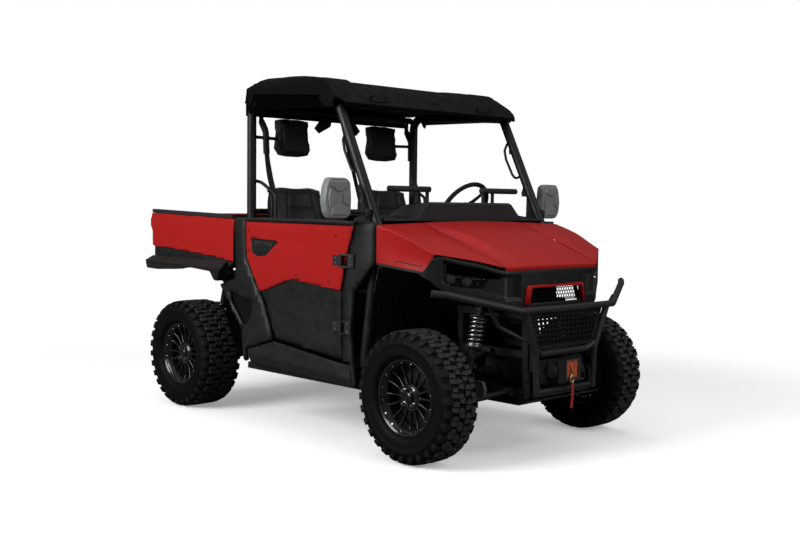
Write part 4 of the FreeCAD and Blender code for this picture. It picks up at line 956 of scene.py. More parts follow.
# The lamp: a bucket behind the nose's cut, two projectors, a light strip and a clear cover.
def makeLamp(side):
    label = sideName(side)
    bm = bmesh.new()
    rings = []
    for back, inset in ((0.031, 1.14), (0.032, 1.04), (0.042, 0.94), (0.06, 0.85), (0.064, 0.4)):
        ring = []
        for y, z in lampHole:
            y = mix(0.54, y, inset)
            ring.append((noseReach(y) - back, side * y, mix(0.9, z, inset)))
        rings.append(ring)
    bucket(bm, rings)
    makePiece("lamp_bucket_" + label, bm, "meshPlastic", ["headlamps"])
    bm = bmesh.new()
    chrome = bmesh.new()
    for y, z, size in ((0.568, 0.908, 0.022), (0.5, 0.893, 0.02)):
        centre = Vector((noseReach(y) - 0.052, side * y, z))
        ahead = Vector((0.82, side * 0.57, 0))
        turn = Vector((1, 0, 0)).rotation_difference(ahead).to_matrix()
        dome = [(0.0004, 0.016), (0.3, 0.0148), (0.6, 0.011), (0.85, 0.006), (1.0, 0.0)]
        rim = [(1.0, 0.0), (1.12, 0.003), (1.22, 0.002), (1.3, -0.004), (1.3, -0.012)]
        for target, profile in ((bm, dome), (chrome, rim)):
            loft(target, [[centre + turn @ Vector((out, size * r * math.cos(a), size * r * math.sin(a)))
                for a in turns(28)] for r, out in profile], caps=False)
    makePiece("lamp_projectors_" + label, bm, "lampClear", angle=50)
    for n in range(22):
        y = mix(0.455, 0.61, n / 22)
        z = along([(0.445, 0.912), (0.52, 0.92), (0.624, 0.943)], y) - 0.006
        sideBrick(chrome, side, (noseReach(y) - 0.046, y, z - 0.004), (noseReach(y) - 0.038, (y + 0.0055),
            z))
    for n in range(9):
        y = 0.47 + 0.0135 * n
        lean = 0.012
        polygon(chrome, [(side * y, 0.876), (side * (y + 0.004), 0.876), (side * (y + 0.004 + lean), 0.902),
            (side * (y + lean), 0.902)], "x", noseReach(y) - 0.062, noseReach(y) - 0.056)
    for points in ([(0.612, 0.937), (0.6, 0.905), (0.58, 0.884)],
            [(0.6, 0.94), (0.585, 0.912), (0.562, 0.888)], [(0.468, 0.909), (0.459, 0.895), (0.462, 0.88)],
            [(0.452, 0.908), (0.446, 0.895), (0.452, 0.881)]):
        for (y0, z0), (y1, z1) in zip(points, points[1:]):
            polygon(chrome, [(side * y0, z0), (side * (y0 - 0.004), z0), (side * (y1 - 0.004), z1),
                (side * y1, z1)], "x", noseReach(y0) - 0.052, noseReach(y0) - 0.042)
    makePiece("lamp_bezels_" + label, chrome, "springSteel", angle=40)
    bm = bmesh.new()

    def spot(u, v):
        y = mix(0.437, 0.624, u)
        high = along(mm(437, 907, 445, 912, 520, 920, 624, 943), y)
        low = along(mm(437, 905, 452, 868, 589, 877, 624, 942), y)
        return (noseReach(y) - 0.03, side * y, mix(high, low, v))

    sheetGrid(bm, spot, 24, 4)
    makePiece("lamp_cover_" + label, bm, "clearCover", angle=60, thick=0.0015, facing=(1, 0, 0))


# Sheets of painted shade under the brow, above the lamp's glass, and below the hood's gaps.
def makeShades():
    bm = bmesh.new()
    for side in (-1, 1):
        rows = []
        for n in range(25):
            s = mix(0.385, 0.662, n / 24)
            high = mix(curve(noseTop, s), curve(noseLow, s), 0.15)
            x, y, z = nosePoint(s, -0.026, high)
            low = along(mm(437, 908, 445, 914, 520, 922, 624, 945, 660, 950), y) + 0.0005
            rows.append([nosePoint(side * s, -0.026, mix(high, low, m / 3)) for m in range(4)])
        skin(bm, rows)
        strip = []
        for n in range(25):
            x = mix(0.86, 1.3, n / 24)
            y = gapLine(x)
            z = frontHeight(x, y) - 0.014
            strip.append([(x, side * (y - 0.012), z), (x, side * (y + 0.012), z)])
        skin(bm, strip)
    makePiece("nose_shades", bm, "deepShade", angle=40, thick=0.001, facing=(1, 0, 0.3))


def makeGrille():
    bm = bmesh.new()
    rings = []
    loop = mm(-244.5, 779, -233.5, 863.5, -222, 874.5, 222, 874.5, 233.5, 863.5, 244.5, 779)
    for scaleY, scaleZ, out in ((1.0, 1.0, 0.0005), (0.995, 0.998, 0.005), (0.925, 0.93, 0.0155),
            (0.885, 0.875, 0.0155), (0.862, 0.85, 0.002), (0.862, 0.85, -0.012)):
        ring = []
        for y, z in loop:
            y, z = y * scaleY, 0.779 + (z - 0.779) * scaleZ
            ring.append((curve(mm(0, 1339, 100, 1337, 200, 1330.5, 300, 1321.5), abs(y)) + out, y, z))
        rings.append(ring)
    loft(bm, rings, closed=False, caps=False)
    makePiece("grille_surround", bm, "redPaint", ["grille_bezel"], angle=28, thick=0.003, facing=(1, 0, 0))
    bm = bmesh.new()
    cell = 0.0118
    wide = cell * math.sqrt(3)
    for row in range(-1, 6):
        for column in range(-13, 14):
            y = (column + 0.5 * (row % 2)) * wide
            z = 0.789 + row * cell * 1.5
            limit = mix(0.2135, 0.1895, (z - 0.788) / 0.074)
            if abs(y) > limit - wide * 0.3 or z > 0.866 or z < 0.784:
                continue
            corners = [math.radians(30 + 60 * n) for n in range(6)]
            outer = [(y + cell * 1.0 * math.cos(a), min(0.8615, max(0.7885, z + cell * math.sin(a))))
                for a in corners]
            inner = [(y + cell * 0.8 * math.cos(a), min(0.8605, max(0.7895, z + cell * 0.8 * math.sin(a))))
                for a in corners]
            rings = [[(x, a, b) for a, b in outline] for x, outline in ((1.3035, outer), (1.3035, inner),
                (1.3005, inner), (1.3005, outer))]
            rings.append(rings[0])
            loft(bm, rings, caps=False)
    for low, high in (((1.2985, -0.2125, 0.7885), (1.3055, 0.2125, 0.7925)),
            ((1.2985, -0.1895, 0.8575), (1.3055, 0.1895, 0.8615))):
        brick(bm, low, high)
    for side in (-1, 1):
        polygon(bm, [(side * 0.2135, 0.7885), (side * 0.1895, 0.8615), (side * 0.1825, 0.8615),
            (side * 0.2055, 0.7885)], "x", 1.2985, 1.3055)
    makePiece("grille_mesh_look", bm, "meshPlastic", ["grille_mesh"])
    # A near-black box behind the mesh: painted shade inside the grille.
    bm = bmesh.new()
    brick(bm, (1.2, -0.165, 0.745), (1.205, 0.165, 0.9))
    brick(bm, (1.2, -0.165, 0.868), (1.3, 0.165, 0.872))
    brick(bm, (1.2, -0.165, 0.76), (1.3, 0.165, 0.764))
    tunnel = mm(-216.5, 786, -199, 862.5, 199, 862.5, 216.5, 786)
    loft(bm, [[(1.297, y, z) for y, z in tunnel], [(1.317, y * 0.985, mix(0.8, z, 0.97)) for y,
        z in tunnel]], caps=False)
    makePiece("grille_core", bm, "deepShade")


makeHood()
for side in (-1, 1):
    makeFender(side)
    makeFenderTrim(side)
    makeLamp(side)
makeNose()
makeShades()
makeGrille()

# Bull bar and winch
print("stage: bull bar")


# A flat four-cornered sheet pierced by rows of round holes.
def piercedSheet(bm, corners, columns, rows, radius):
    topLeft, topRight, lowRight, lowLeft = [Vector(c) for c in corners]

    def spot(u, v):
        return topLeft.lerp(topRight, u).lerp(lowLeft.lerp(lowRight, u), v)

    for j in range(rows):
        for i in range(columns):
            edge = [spot((i + a) / columns, (j + b) / rows) for a, b in ((0, 0), (0.5, 0), (1, 0), (1, 0.5),
                (1, 1), (0.5, 1), (0, 1), (0, 0.5))]
            middle = spot((i + 0.5) / columns, (j + 0.5) / rows)
            across = (topRight - topLeft).normalized()
            down = (lowLeft - topLeft).normalized()
            hole = []
            for n in range(8):
                angle = math.pi * (-0.75 + n * 0.25)
                hole.append(middle + across * (radius * math.cos(angle)) + down
                    * (radius * math.sin(angle)))
            first = [bm.verts.new(p) for p in edge]
            second = [bm.verts.new(p) for p in hole]
            for n in range(8):
                m = (n + 1) % 8
                bm.faces.new((first[n], first[m], second[m], second[n]))


def makeBullBar():
    bm = bmesh.new()
    half = [(1.195, 0.765, 0.8505), (1.241, 0.701, 0.842), (1.418, 0.372, 0.76)]
    tube(bm, half + [(1.424, 0, 0.758)] + mirrored(half[::-1]), 0.0175, 0.03, 20)
    for side in (-1, 1):
        tube(bm, sided(side, 1408, 330, 752, 1400, 240, 540, 1400, 226, 331), 0.0175, 0.04, 20)
        tube(bm, sided(side, 1325, 508, 790, 1315, 420, 680, 1400, 262, 590), 0.0095, 0.03, 14)
        polygon(bm, mm(1376.5, 325, 1399.5, 325, 1399.5, 420, 1385, 440, 1376.5, 440), "y",
            *span(side, 0.205, 0.214))
        bolt(bm, (1.1975, side * 0.7615, 0.851), (-0.35, side * 0.8, 0.1), 0.0125, 0.002, 20)
    low = [(1.4, 0.238, 0.562), (1.386, 0.183, 0.533)]
    tube(bm, low + mirrored(low[::-1]), 0.0165, 0.035, 18)
    tube(bm, [(1.392, -0.225, 0.345), (1.392, 0.225, 0.345)], 0.0135, 0, 16)
    makePiece("bull_bar_tubes", bm, "framePaint", ["bull_bar"], angle=40)
    bm = bmesh.new()
    piercedSheet(bm, [(1.398, -0.272, 0.724), (1.3985, 0.272, 0.724), (1.3985, 0.226, 0.578),
        (1.3985, -0.226, 0.578)], 16, 6, 0.0072)
    makePiece("bull_bar_plate", bm, "meshPlastic", angle=20, thick=0.0032, facing=(1, 0, 0))
    bm = bmesh.new()
    frameLine = mm(-300, 739, 300, 739, 238, 562, -238, 562)
    for (ya, za), (yb, zb) in outlineEdges(frameLine):
        inA = (ya * 0.9, mix(0.651, za, 0.82))
        inB = (yb * 0.9, mix(0.651, zb, 0.82))
        polygon(bm, [(ya, za), (yb, zb), inB, inA], "x", 1.3945, 1.3995)
    for y, z in ((-0.262, 0.734), (0.262, 0.734), (-0.21, 0.57), (0.21, 0.57), (-0.1, 0.734), (0.1, 0.734)):
        bolt(bm, (1.3995, y, z), (1, 0, 0), 0.007)
    for side in (-1, 1):
        sideBrick(bm, side, (1.372, 0.226, 0.322), (1.3765, 0.286, 0.45))
        for z in (0.34, 0.43):
            bolt(bm, (1.3765, side * 0.256, z), (1, 0, 0), 0.0085, 0.007, 6)
    brick(bm, (1.3625, -0.236, 0.3225), (1.3995, 0.236, 0.3515))
    # The frame behind the bar takes the darker frame paint, as painted shade.
    makePiece("bull_bar_frame", bm, "shadedFramePaint", bevel=0.0015)


winchAxis = (1.391, 0, 0.44)


def makeWinch():
    bm = bmesh.new()
    for side in (-1, 1):
        profile = [(a, side * b) for a, b in mm(1, 62, 38.5, 62, 42.5, 65, 42.5, 70, 38.5, 72, 38.5, 84,
            40.5, 86, 38.5, 88, 38.5, 100, 40.5, 102, 38.5, 104, 38.5, 118, 34, 122, 1, 122)]
        spin(bm, profile, winchAxis, 28)
        sideBrick(bm, side, (1.366, 0.064, 0.397), (1.39, 0.116, 0.483))
    for x, z in ((1.372, 0.478), (1.409, 0.478)):
        tube(bm, [(x, -0.066, z), (x, 0.066, z)], 0.0045, 0, 12)
    brick(bm, (1.3625, -0.176, 0.3805), (1.3715, 0.176, 0.4995))
    for side in (-1, 1):
        sideBrick(bm, side, (1.37, 0.155, 0.3805), (1.402, 0.163, 0.43))
        bolt(bm, (1.3715, side * 0.14, 0.49), (1, 0, 0), 0.006)
    # The winch takes the darker frame paint, as painted shade.
    makePiece("winch_body", bm, "shadedFramePaint", ["winch"], angle=35, bevel=0.0012)
    bm = bmesh.new()
    profile = [(0.0315 + 0.0018 * math.sin(n * math.pi / 4), mix(-0.0615, 0.0615, n / 84))
        for n in range(85)]
    spin(bm, profile, winchAxis, 32)
    for n in range(7):
        y = -0.02 + 0.0135 * n
        tube(bm, [(1.421, y, 0.402), (1.4225, y + 0.004, 0.445), (1.421, y, 0.486)], 0.0064, 0.02, 12)
    tube(bm, [(1.424, 0.012, 0.47), (1.434, 0.008, 0.455), (1.4405, 0.006, 0.437)], 0.0058, 0.02, 12)
    makePiece("winch_rope", bm, "ropeWeb", angle=60)
    bm = bmesh.new()
    outer = mm(-94.5, 386, -94.5, 494, -89.5, 499, 89.5, 499, 94.5, 494, 94.5, 386, 89.5, 381.5, -89.5,
        381.5)
    inner = mm(-27, 401, -27, 487, -23, 491, 66, 491, 70, 487, 70, 401, 66, 397, -23, 397)
    loft(bm, [[(x, y, z) for y, z in outline] for x, outline in ((1.4252, outer), (1.4325, outer),
        (1.4325, inner), (1.4252, inner))], ends=True, caps=False)
    for side in (-1, 1):
        sideBrick(bm, side, (1.405, 0.0875, 0.4005), (1.4265, 0.0945, 0.4795))
        bolt(bm, (1.4325, side * 0.0815, 0.441), (1, 0, 0), 0.006, 0.004, 6)
    # The fairlead takes the darker frame paint, as painted shade.
    makePiece("winch_fairlead", bm, "shadedFramePaint", bevel=0.001)
    bm = bmesh.new()
    rings = [[(x, 0.0215 + (y - 0.0215) * (1 + grow / 0.0485), 0.444 + (z - 0.444) * (1 + grow / 0.047))
        for y, z in inner] for x, grow in ((1.4326, 0.0), (1.4338, 0.0006), (1.4338, 0.0026),
        (1.4326, 0.0032))]
    rings.append(rings[0])
    loft(bm, rings, caps=False)
    makePiece("winch_rim", bm, "alloy")
    bm = bmesh.new()
    curveLine = []
    for n in range(19):
        angle = math.radians(100 - n * 15)
        curveLine.append((1.4405, 0.004 - 0.0135 * math.cos(angle), 0.398 + 0.0175 * math.sin(angle)))
    curveLine = [(1.4405, 0.005, 0.436), (1.4405, 0.005, 0.424)] + curveLine[1:]
    sweep(bm, curveLine, disc(0.0052, 12))
    spin(bm, mm(4.2, -4, 8.8, -3.5, 8.8, 3.5, 4.2, 4), (1.4405, 0.005, 0.434), 18, closed=True)
    tube(bm, [(1.4405, 0.014, 0.419), (1.4405, 0.0165, 0.4)], 0.0022, 0, 8)
    makePiece("winch_hook", bm, "hookZinc", angle=60)
    bm = bmesh.new()
    strap = [(1.4425, 0.004, 0.384), (1.4435, 0.0075, 0.352), (1.4425, 0.0085, 0.31),
        (1.441, 0.0045, 0.272), (1.4405, 0.0, 0.25)]
    line = []
    for n in range(25):
        t = n / 24 * 4
        k = min(3, int(t))
        line.append(Vector(strap[k]).lerp(Vector(strap[k + 1]), t - k))
    sweep(bm, line, mm(-1.1, -9.5, 1.1, -9.5, 1.1, 9.5, -1.1, 9.5), upright=(0, 1, 0))
    strapPiece = makePiece("winch_strap", bm, "strapWeb", angle=40)
    bm = bmesh.new()
    loop = [(1.441, 0.004 + 0.0075 * math.cos(a), 0.385 + 0.009 * math.sin(a))
        for a in [math.radians(200 + n * 14) for n in range(11)]]
    sweep(bm, loop, mm(-1.1, -6, 1.1, -6, 1.1, 6, -1.1, 6), upright=(1, 0, 0))
    loopPiece = makePiece("winch_strap_loop", bm, "strapWeb", angle=40)


makeBullBar()
makeWinch()

# Side panels: doors, pillars, quarter panels and sills
print("stage: side panels")


# A skin over an (x, z) outline that faces outward on one side: rings near the edge roll it over.
def skinPatch(bm, outline, side, reach, roll=0.006, step=0.03, windows=()):
    points = [bm.verts.new((x, 0, z)) for x, z in outline]
    face = bm.faces.new(points)
    region = [face]
    for width in (roll * 0.25, roll * 0.35, roll * 0.5):
        bmesh.ops.inset_region(bm, faces=region, thickness=width, use_even_offset=True)
    cuts = []
    for values, ahead in (([x for x, z in outline], Vector((1, 0, 0))),
            ([z for x, z in outline], Vector((0, 0, 1)))):
        low, high = min(values), max(values)
        cuts += [(ahead * (low + n * step), ahead) for n in range(1, int((high - low) / step) + 1)]
    for window in windows:
        for (xa, za), (xb, zb) in outlineEdges(window):
            cuts.append(((xa, 0, za), (zb - za, 0, xa - xb)))
    for place, normal in cuts:
        geometry = bm.verts[:] + bm.edges[:] + bm.faces[:]
        bmesh.ops.bisect_plane(bm, geom=geometry, plane_co=place, plane_no=normal, dist=0.00005)
    for window in windows:
        dropInside(bm, window, 0)
    for v in bm.verts:
        away = nearestOnOutline(outline, v.co.x, v.co.z)[0]
        share = min(1.0, away / roll)
        drop = roll * (1 - math.sqrt(max(0.0, 1 - (1 - share) ** 2)))
        v.co.y = side * (reach(v.co.x, v.co.z) - drop)


# How far a point lies below a line from a to b.
def belowLine(a, b, x, z):
    length = math.hypot(b[0] - a[0], b[1] - a[1])
    return ((b[0] - a[0]) * (a[1] - z) + (b[1] - a[1]) * (x - a[0])) / length


doorPull = mm(-292, 1071, -63, 1061, -42, 1050, -146, 975, -222, 966, -282, 988)


def skinReach(x, z):
    y = 0.7345 - 0.0018 * ((z - 1.02) / 0.2) ** 2 - 0.001 * ((x - 0.12) / 0.45) ** 2
    fade = smoothStep(-0.13, -0.06, x) * (1 - smoothStep(0.1, 0.24, x))
    under = belowLine((-0.109, 1.0865), (0.222, 1.068), x, z)
    y -= 0.005 * fade * smoothStep(0, 0.006, under) * (1 - smoothStep(0.006, 0.07, under))
    y -= 0.0038 * smoothStep(0.0, 0.012, belowLine((0.03, 0.915), (0.49, 0.816), x, z)) * smoothStep(0.0,
        0.08, x)
    return y


def shellReach(x, z):
    y = 0.7228 - 0.003 * (1 - smoothStep(0.44, 0.62, z))
    pad = smoothStep(0, 0.02, belowLine((-0.2, 0.79), (0.2, 0.8), x, z)) * smoothStep(-0.09, -0.05,
        x) * (1 - smoothStep(0.42, 0.46, x)) * smoothStep(0.53, 0.56, z)
    return y - 0.003 * pad


def makeDoor(side):
    body = "door_" + sideName(side)
    bm = bmesh.new()
    outline = mm(-349, 1182, -338, 953, -221, 765, -182, 722, -106, 560, -90, 523, -72, 510, 485, 451.5,
        500, 462, 498.5, 812, 536, 969, 596, 1146, 606, 1180)
    skinPatch(bm, outline, side, shellReach, roll=0.009, step=0.035)
    makePiece("door_shell_" + sideName(side), bm, "blackPlastic", [body + "_shell"], body=body, angle=35,
        thick=0.033, facing=(0, side, 0))
    bm = bmesh.new()
    outline = mm(-346, 1162.8, -343.5, 1050, -335, 953, -222, 774, -214, 768, -180, 772.5, 40, 843, 66,
        851.5, 128, 850, 317, 829, 487, 814.5, 496, 819, 533, 969, 593, 1146, 598.5, 1155)
    skinPatch(bm, outline, side, skinReach, roll=0.004, step=0.02, windows=[doorPull])
    makePiece("door_skin_look_" + sideName(side), bm, "redPaint", [body + "_skin"], body=body, angle=28,
        thick=0.006, facing=(0, side, 0))
    bm = bmesh.new()
    rail = mm(0, -11, 11, -10.5, 16.5, -5, 17.5, 2, 15, 8.5, 8, 11, -12, 11, -12, -11)
    line = [(x, side * 0.7195, along([(-0.349, 1.175), (0.4, 1.1735), (0.604, 1.168)], x))
        for x in [mix(-0.3485, 0.604, n / 20) for n in range(21)]]
    sweep(bm, line, [(a * side, b) if side > 0 else (a, b) for a, b in rail], (0, 0, 1))
    makePiece("door_rail_" + sideName(side), bm, "blackPlastic", body=body, angle=40)

    # The pocket behind the pull, and the lever in it.
    bm = bmesh.new()
    bucket(bm, [[(mix(-0.172, x, inset), side * y, mix(1.022, z, inset)) for x, z in doorPull] for inset,
        y in ((1.03, 0.7325), (0.97, 0.7325), (0.93, 0.729), (0.86, 0.718), (0.82, 0.7125))])
    makePiece("door_pocket_" + sideName(side), bm, "innerPlastic", body=body)
    bm = bmesh.new()
    rings = []
    for t in range(9):
        x = mix(-0.262, -0.098, t / 8)
        z = mix(1.045, 1.034, t / 8)
        half = 0.011 + 0.004 * math.sin(math.pi * t / 8)
        y = 0.7285 - 0.003 * abs(t - 4) / 4
        rings.append([(x, side * (y - 0.006), z - half), (x, side * y, z - half * 0.7),
            (x, side * (y + 0.0015), z), (x, side * y, z + half * 0.7), (x, side * (y - 0.006), z + half)])
    loft(bm, rings)
    for x in (-0.262, -0.11):
        sideBrick(bm, side, (x, 0.71, 1.03), (x + 0.014, 0.727, 1.046))
    makePiece("door_lever_" + sideName(side), bm, "gripRubber", body=body, angle=40)
    bm = bmesh.new()
    for x, z in ((-0.31, 1.11), (-0.31, 1.0), (-0.245, 0.83), (0.46, 1.1), (0.4, 0.86), (0.12, 0.88)):
        bolt(bm, (x, side * (skinReach(x, z) + 0.0005), z), (0, side, 0), 0.0045, 0.002, 12)
    makePiece("door_clips_" + sideName(side), bm, "blackPlastic", body=body)

    # Hinges: a leaf on the door, a leaf on the pillar, their arms and a barrel.
    door = bmesh.new()
    fixed = bmesh.new()
    heads = bmesh.new()
    fixedHeads = bmesh.new()
    for z in (0.976, 0.63):
        polygon(door, [(0.441, z - 0.0255), (0.441, z + 0.0255), (0.448, z + 0.0255), (0.494, z + 0.0255),
            (0.494, z - 0.0255)], "y", *span(side, 0.7265, 0.7385))
        outline = [(a, side * b) for a, b in mm(488, 731.5, 494, 731.5, 519, 741, 528.5, 751, 520, 759.5,
            511, 758.5, 488, 738.5)]
        polygon(door, outline, "z", z - 0.0255, z + 0.0255)
        tube(door, [(0.52, side * 0.751, z - 0.0258), (0.52, side * 0.751, z + 0.0258)], 0.0108, 0, 16)
        leaf = 0.558 if z > 0.9 else 0.537
        low, high = span(side, 0.7305, 0.7405)
        brick(fixed, (leaf, low, z - 0.0355), (leaf + 0.05, high, z + 0.0355))
        for base in (z - 0.0359, z + 0.0264):
            outline = [(0.5115, side * 0.743), (leaf - 0.004, side * 0.7425), (leaf + 0.004, side * 0.7352),
                (leaf + 0.014, side * 0.7395), (0.5235, side * 0.7605), (0.5115, side * 0.7585)]
            polygon(fixed, outline, "z", base, base + 0.0094)
        tube(fixed, [(0.52, side * 0.751, z - 0.036), (0.52, side * 0.751, z + 0.036)], 0.0048, 0, 12)
        for shift in (-0.013, 0.013):
            bolt(heads, (0.4665, side * 0.7385, z + shift), (0, side, 0), 0.0065, 0.0045, 6)
            bolt(fixedHeads, (leaf + 0.028, side * 0.7405, z + shift * 1.5), (0, side, 0), 0.0065, 0.0045,
                6)
    makePiece("door_hinges_" + sideName(side), door, "framePaint", body=body, bevel=0.0012)
    makePiece("pillar_hinges_" + sideName(side), fixed, "framePaint", bevel=0.0012)
    makePiece("hinge_bolts_" + sideName(side), heads, "shaftSteel", body=body)
    makePiece("pillar_bolts_" + sideName(side), fixedHeads, "shaftSteel")


def makePillar(side):
    bm = bmesh.new()
    outline = mm(618.5, 1178.5, 603, 1146, 543, 969, 505.5, 812, 510.5, 452, 519, 446.5, 570, 446, 575.5,
        400, 585.5, 326, 592, 320.5, 601.5, 321.5, 597.5, 380, 580.5, 621, 595.5, 811, 745, 975.5, 750.5,
        984, 748, 1178.5)
    skinPatch(bm, outline, side, lambda x, z: 0.7305 - 0.012 * smoothStep(0.66, 0.755, x) * smoothStep(0.9,
        1.0, z), roll=0.008, step=0.035)
    makePiece("pillar_panel_" + sideName(side), bm, "blackPlastic", ["cowl_side_panels"], angle=35,
        thick=0.03, facing=(0, side, 0))


intakeHole = mm(-523, 758, -286, 708, -286, 650, -338, 572, -386, 567, -503, 696)


def quarterReach(x, z):
    y = 0.7305
    away = nearestOnOutline(intakeHole, x, z)[0]
    if not insideOutline(intakeHole, x, z):
        y -= 0.004 * (1 - smoothStep(0.0, 0.016, away))
    y -= 0.005 * (1 - smoothStep(0.36, 0.46, z))
    return y


def makeQuarter(side):
    bm = bmesh.new()
    outline = mm(-468.5, 1186.5, -461, 977, -457.5, 900, -468, 830, -612, 786, -615.5, 779, -395.5, 531,
        -386, 368, -379, 358.5, -358.5, 353.5, -358, 424, -103, 502, -114.5, 556, -190, 720, -229, 765,
        -346.5, 950, -357, 1186.5)
    skinPatch(bm, outline, side, quarterReach, roll=0.008, step=0.035, windows=[intakeHole])
    makePiece("quarter_panel_" + sideName(side), bm, "blackPlastic", ["rear_cab_panels"], angle=35,
        thick=0.03, facing=(0, side, 0))
    bm = bmesh.new()
    # The intake's hollow, in the darkest plastic: painted shade in the recess.
    bucket(bm, [[(mix(-0.4, x, inset), side * y, mix(0.66, z, inset)) for x, z in intakeHole] for inset,
        y in ((1.02, 0.724), (0.97, 0.72), (0.95, 0.705))])
    makePiece("quarter_intake_" + sideName(side), bm, "meshPlastic")


def makeSill(side):
    bm = bmesh.new()
    top = mm(-352, 420, -349, 424, -92, 494.5, -80, 494.5, 490, 436, 558, 436, 576.5, 410)
    crease = mm(-352, 402, -300, 404, 420, 372, 576.5, 362)
    foot = mm(-352, 349, -345, 346, 540, 313.5, 560, 313, 576.5, 330)

    def spot(u, v):
        x = mix(-0.3515, 0.5765, u)
        high, middle, low = along(top, x), along(crease, x), along(foot, x)
        end = 0.012 * (max(0, 1 - u / 0.02) ** 2 + max(0, 1 - (1 - u) / 0.02) ** 2)
        if v < 0.12:
            return (x, side * (0.7225 - 0.006 * (1 - v / 0.12) ** 2 - end), high - 0.004 * v / 0.12)
        if v < 0.5:
            return (x, side * (0.7225 - end), mix(high - 0.004, middle, (v - 0.12) / 0.38))
        if v < 0.85:
            share = (v - 0.5) / 0.35
            return (x, side * (mix(0.7225, 0.698, share ** 1.2) - end), mix(middle, low, share))
        return (x, side * (mix(0.698, 0.66, (v - 0.85) / 0.15) - end), low + 0.0005)

    sheetGrid(bm, spot, 60, 24)
    makePiece("sill_panel_" + sideName(side), bm, "sillPlastic", ["rocker_panels"], thick=0.004,
        facing=(0, side, 0))
    bm = bmesh.new()
    for x in (-0.28, -0.1, 0.08, 0.26, 0.44):
        z = mix(along(top, x), along(crease, x), 0.75)
        bolt(bm, (x, side * 0.7222, z), (0, side, 0), 0.006, 0.0025, 14)
    makePiece("sill_clips_" + sideName(side), bm, "innerPlastic")


for side in (-1, 1):
    makeDoor(side)
    makePillar(side)
    makeQuarter(side)
    makeSill(side)

# Seats, by cloth under pressure from the cushion solids
print("stage: seats")


padInset = 0.006


def padShape(node, rounding, voxel):
    source = bpy.data.objects[node]
    bm = bmesh.new()
    bm.from_mesh(source.data)
    bm.transform(source.matrix_world)
    bmesh.ops.delete(bm, geom=[v for v in bm.verts if v.co.y >= 0], context="VERTS")
    bmesh.ops.remove_doubles(bm, verts=bm.verts, dist=0.0001)
    piece = meshObject("pad", bm)
    even = piece.modifiers.new("even", "REMESH")
    even.mode = "VOXEL"
    even.voxel_size = voxel
    bakeModifiers(piece)
    bm = bmesh.new()
    bm.from_mesh(piece.data)
    for turn in range(rounding):
        bmesh.ops.smooth_vert(bm, verts=bm.verts, factor=0.5, use_axis_x=True, use_axis_y=True,
            use_axis_z=True)
    bm.to_mesh(piece.data)
    bm.free()
    sew(piece, lambda place, normal: padInset)
    return piece


def swell(piece, cap, rest):
    start = [v.co.copy() for v in piece.data.vertices]
    cloth = piece.modifiers.new("swell", "CLOTH")
    cloth.settings.use_pressure = True
    cloth.settings.uniform_pressure_force = 4
    cloth.settings.quality = 3
    cloth.settings.effector_weights.gravity = 0
    for frameNumber in range(1, 21):
        scene.frame_set(frameNumber)
    bakeModifiers(piece)
    scene.frame_set(1)
    for v, origin in zip(piece.data.vertices, start):
        move = v.co - origin
        if move.length > cap:
            move *= cap / move.length
        v.co = origin + move * rest(origin)


# Presses a pad in along its normals, by a depth for each place, and keeps it between two corners.
def sew(piece, depthAt, low=(-9, -9, -9), high=(9, 9, 9)):
    bm = bmesh.new()
    bm.from_mesh(piece.data)
    bm.normal_update()
    places = [v.co - v.normal * depthAt(v.co, v.normal) for v in bm.verts]
    for v, place in zip(bm.verts, places):
        v.co = [min(max(place[n], low[n]), high[n]) for n in range(3)]
    bm.to_mesh(piece.data)
    bm.free()


def finishPads(name, piece, node):
    for side, mesh in ((-1, piece.data), (1, piece.data.copy())):
        if side == 1:
            mesh.transform(Matrix.Scale(-1, 4, (0, 1, 0)))
            mesh.flip_normals()
        mesh.shade_smooth()
        pad = bpy.data.objects.new(name + "_" + sideName(side), mesh)
        scene.collection.objects.link(pad)
        finishPiece(pad, "chassis", "seatVinyl", [node] if side == 1 else ())
    bpy.data.objects.remove(piece)


def ridge(distance, width):
    return math.exp(-(distance / width) ** 2)


def makeCushions():
    piece = padShape("seat_cushions", 8, 0.006)
    swell(piece, 0.009, lambda p: smoothStep(0.795, 0.83, p.z))

    def depth(p, normal):
        y = abs(p.y) - 0.3625
        top = smoothStep(0.5, 0.8, normal.z)
        panel = ridge(abs(y) - 0.125, 0.007) * 0.007 * top
        panel += ridge(p.x - 0.075, 0.007) * 0.006 * top * smoothStep(0.14, 0.12, abs(y))
        for x in (-0.14, -0.04):
            panel += ridge(p.x - x, 0.008) * 0.005 * top * smoothStep(0.125, 0.118, abs(y))
        side = ridge(p.z - 0.885, 0.005) * 0.004 * smoothStep(0.5, 0.8, 1 - abs(normal.z))
        hollow = 0.006 * top * smoothStep(0.14, 0.0, abs(y)) * smoothStep(-0.3, -0.1, p.x)
        pinch = 0.003 * (1 - abs(normal.z)) * smoothStep(0.18, 0.0, abs(y)) * smoothStep(0.0, 0.1, p.x)
        return panel + side + hollow + pinch

    sew(piece, depth, (-0.3298, -0.5598, 0.7905), (0.1498, -0.1652, 0.9248))
    finishPads("seat_cushion", piece, "seat_cushions")


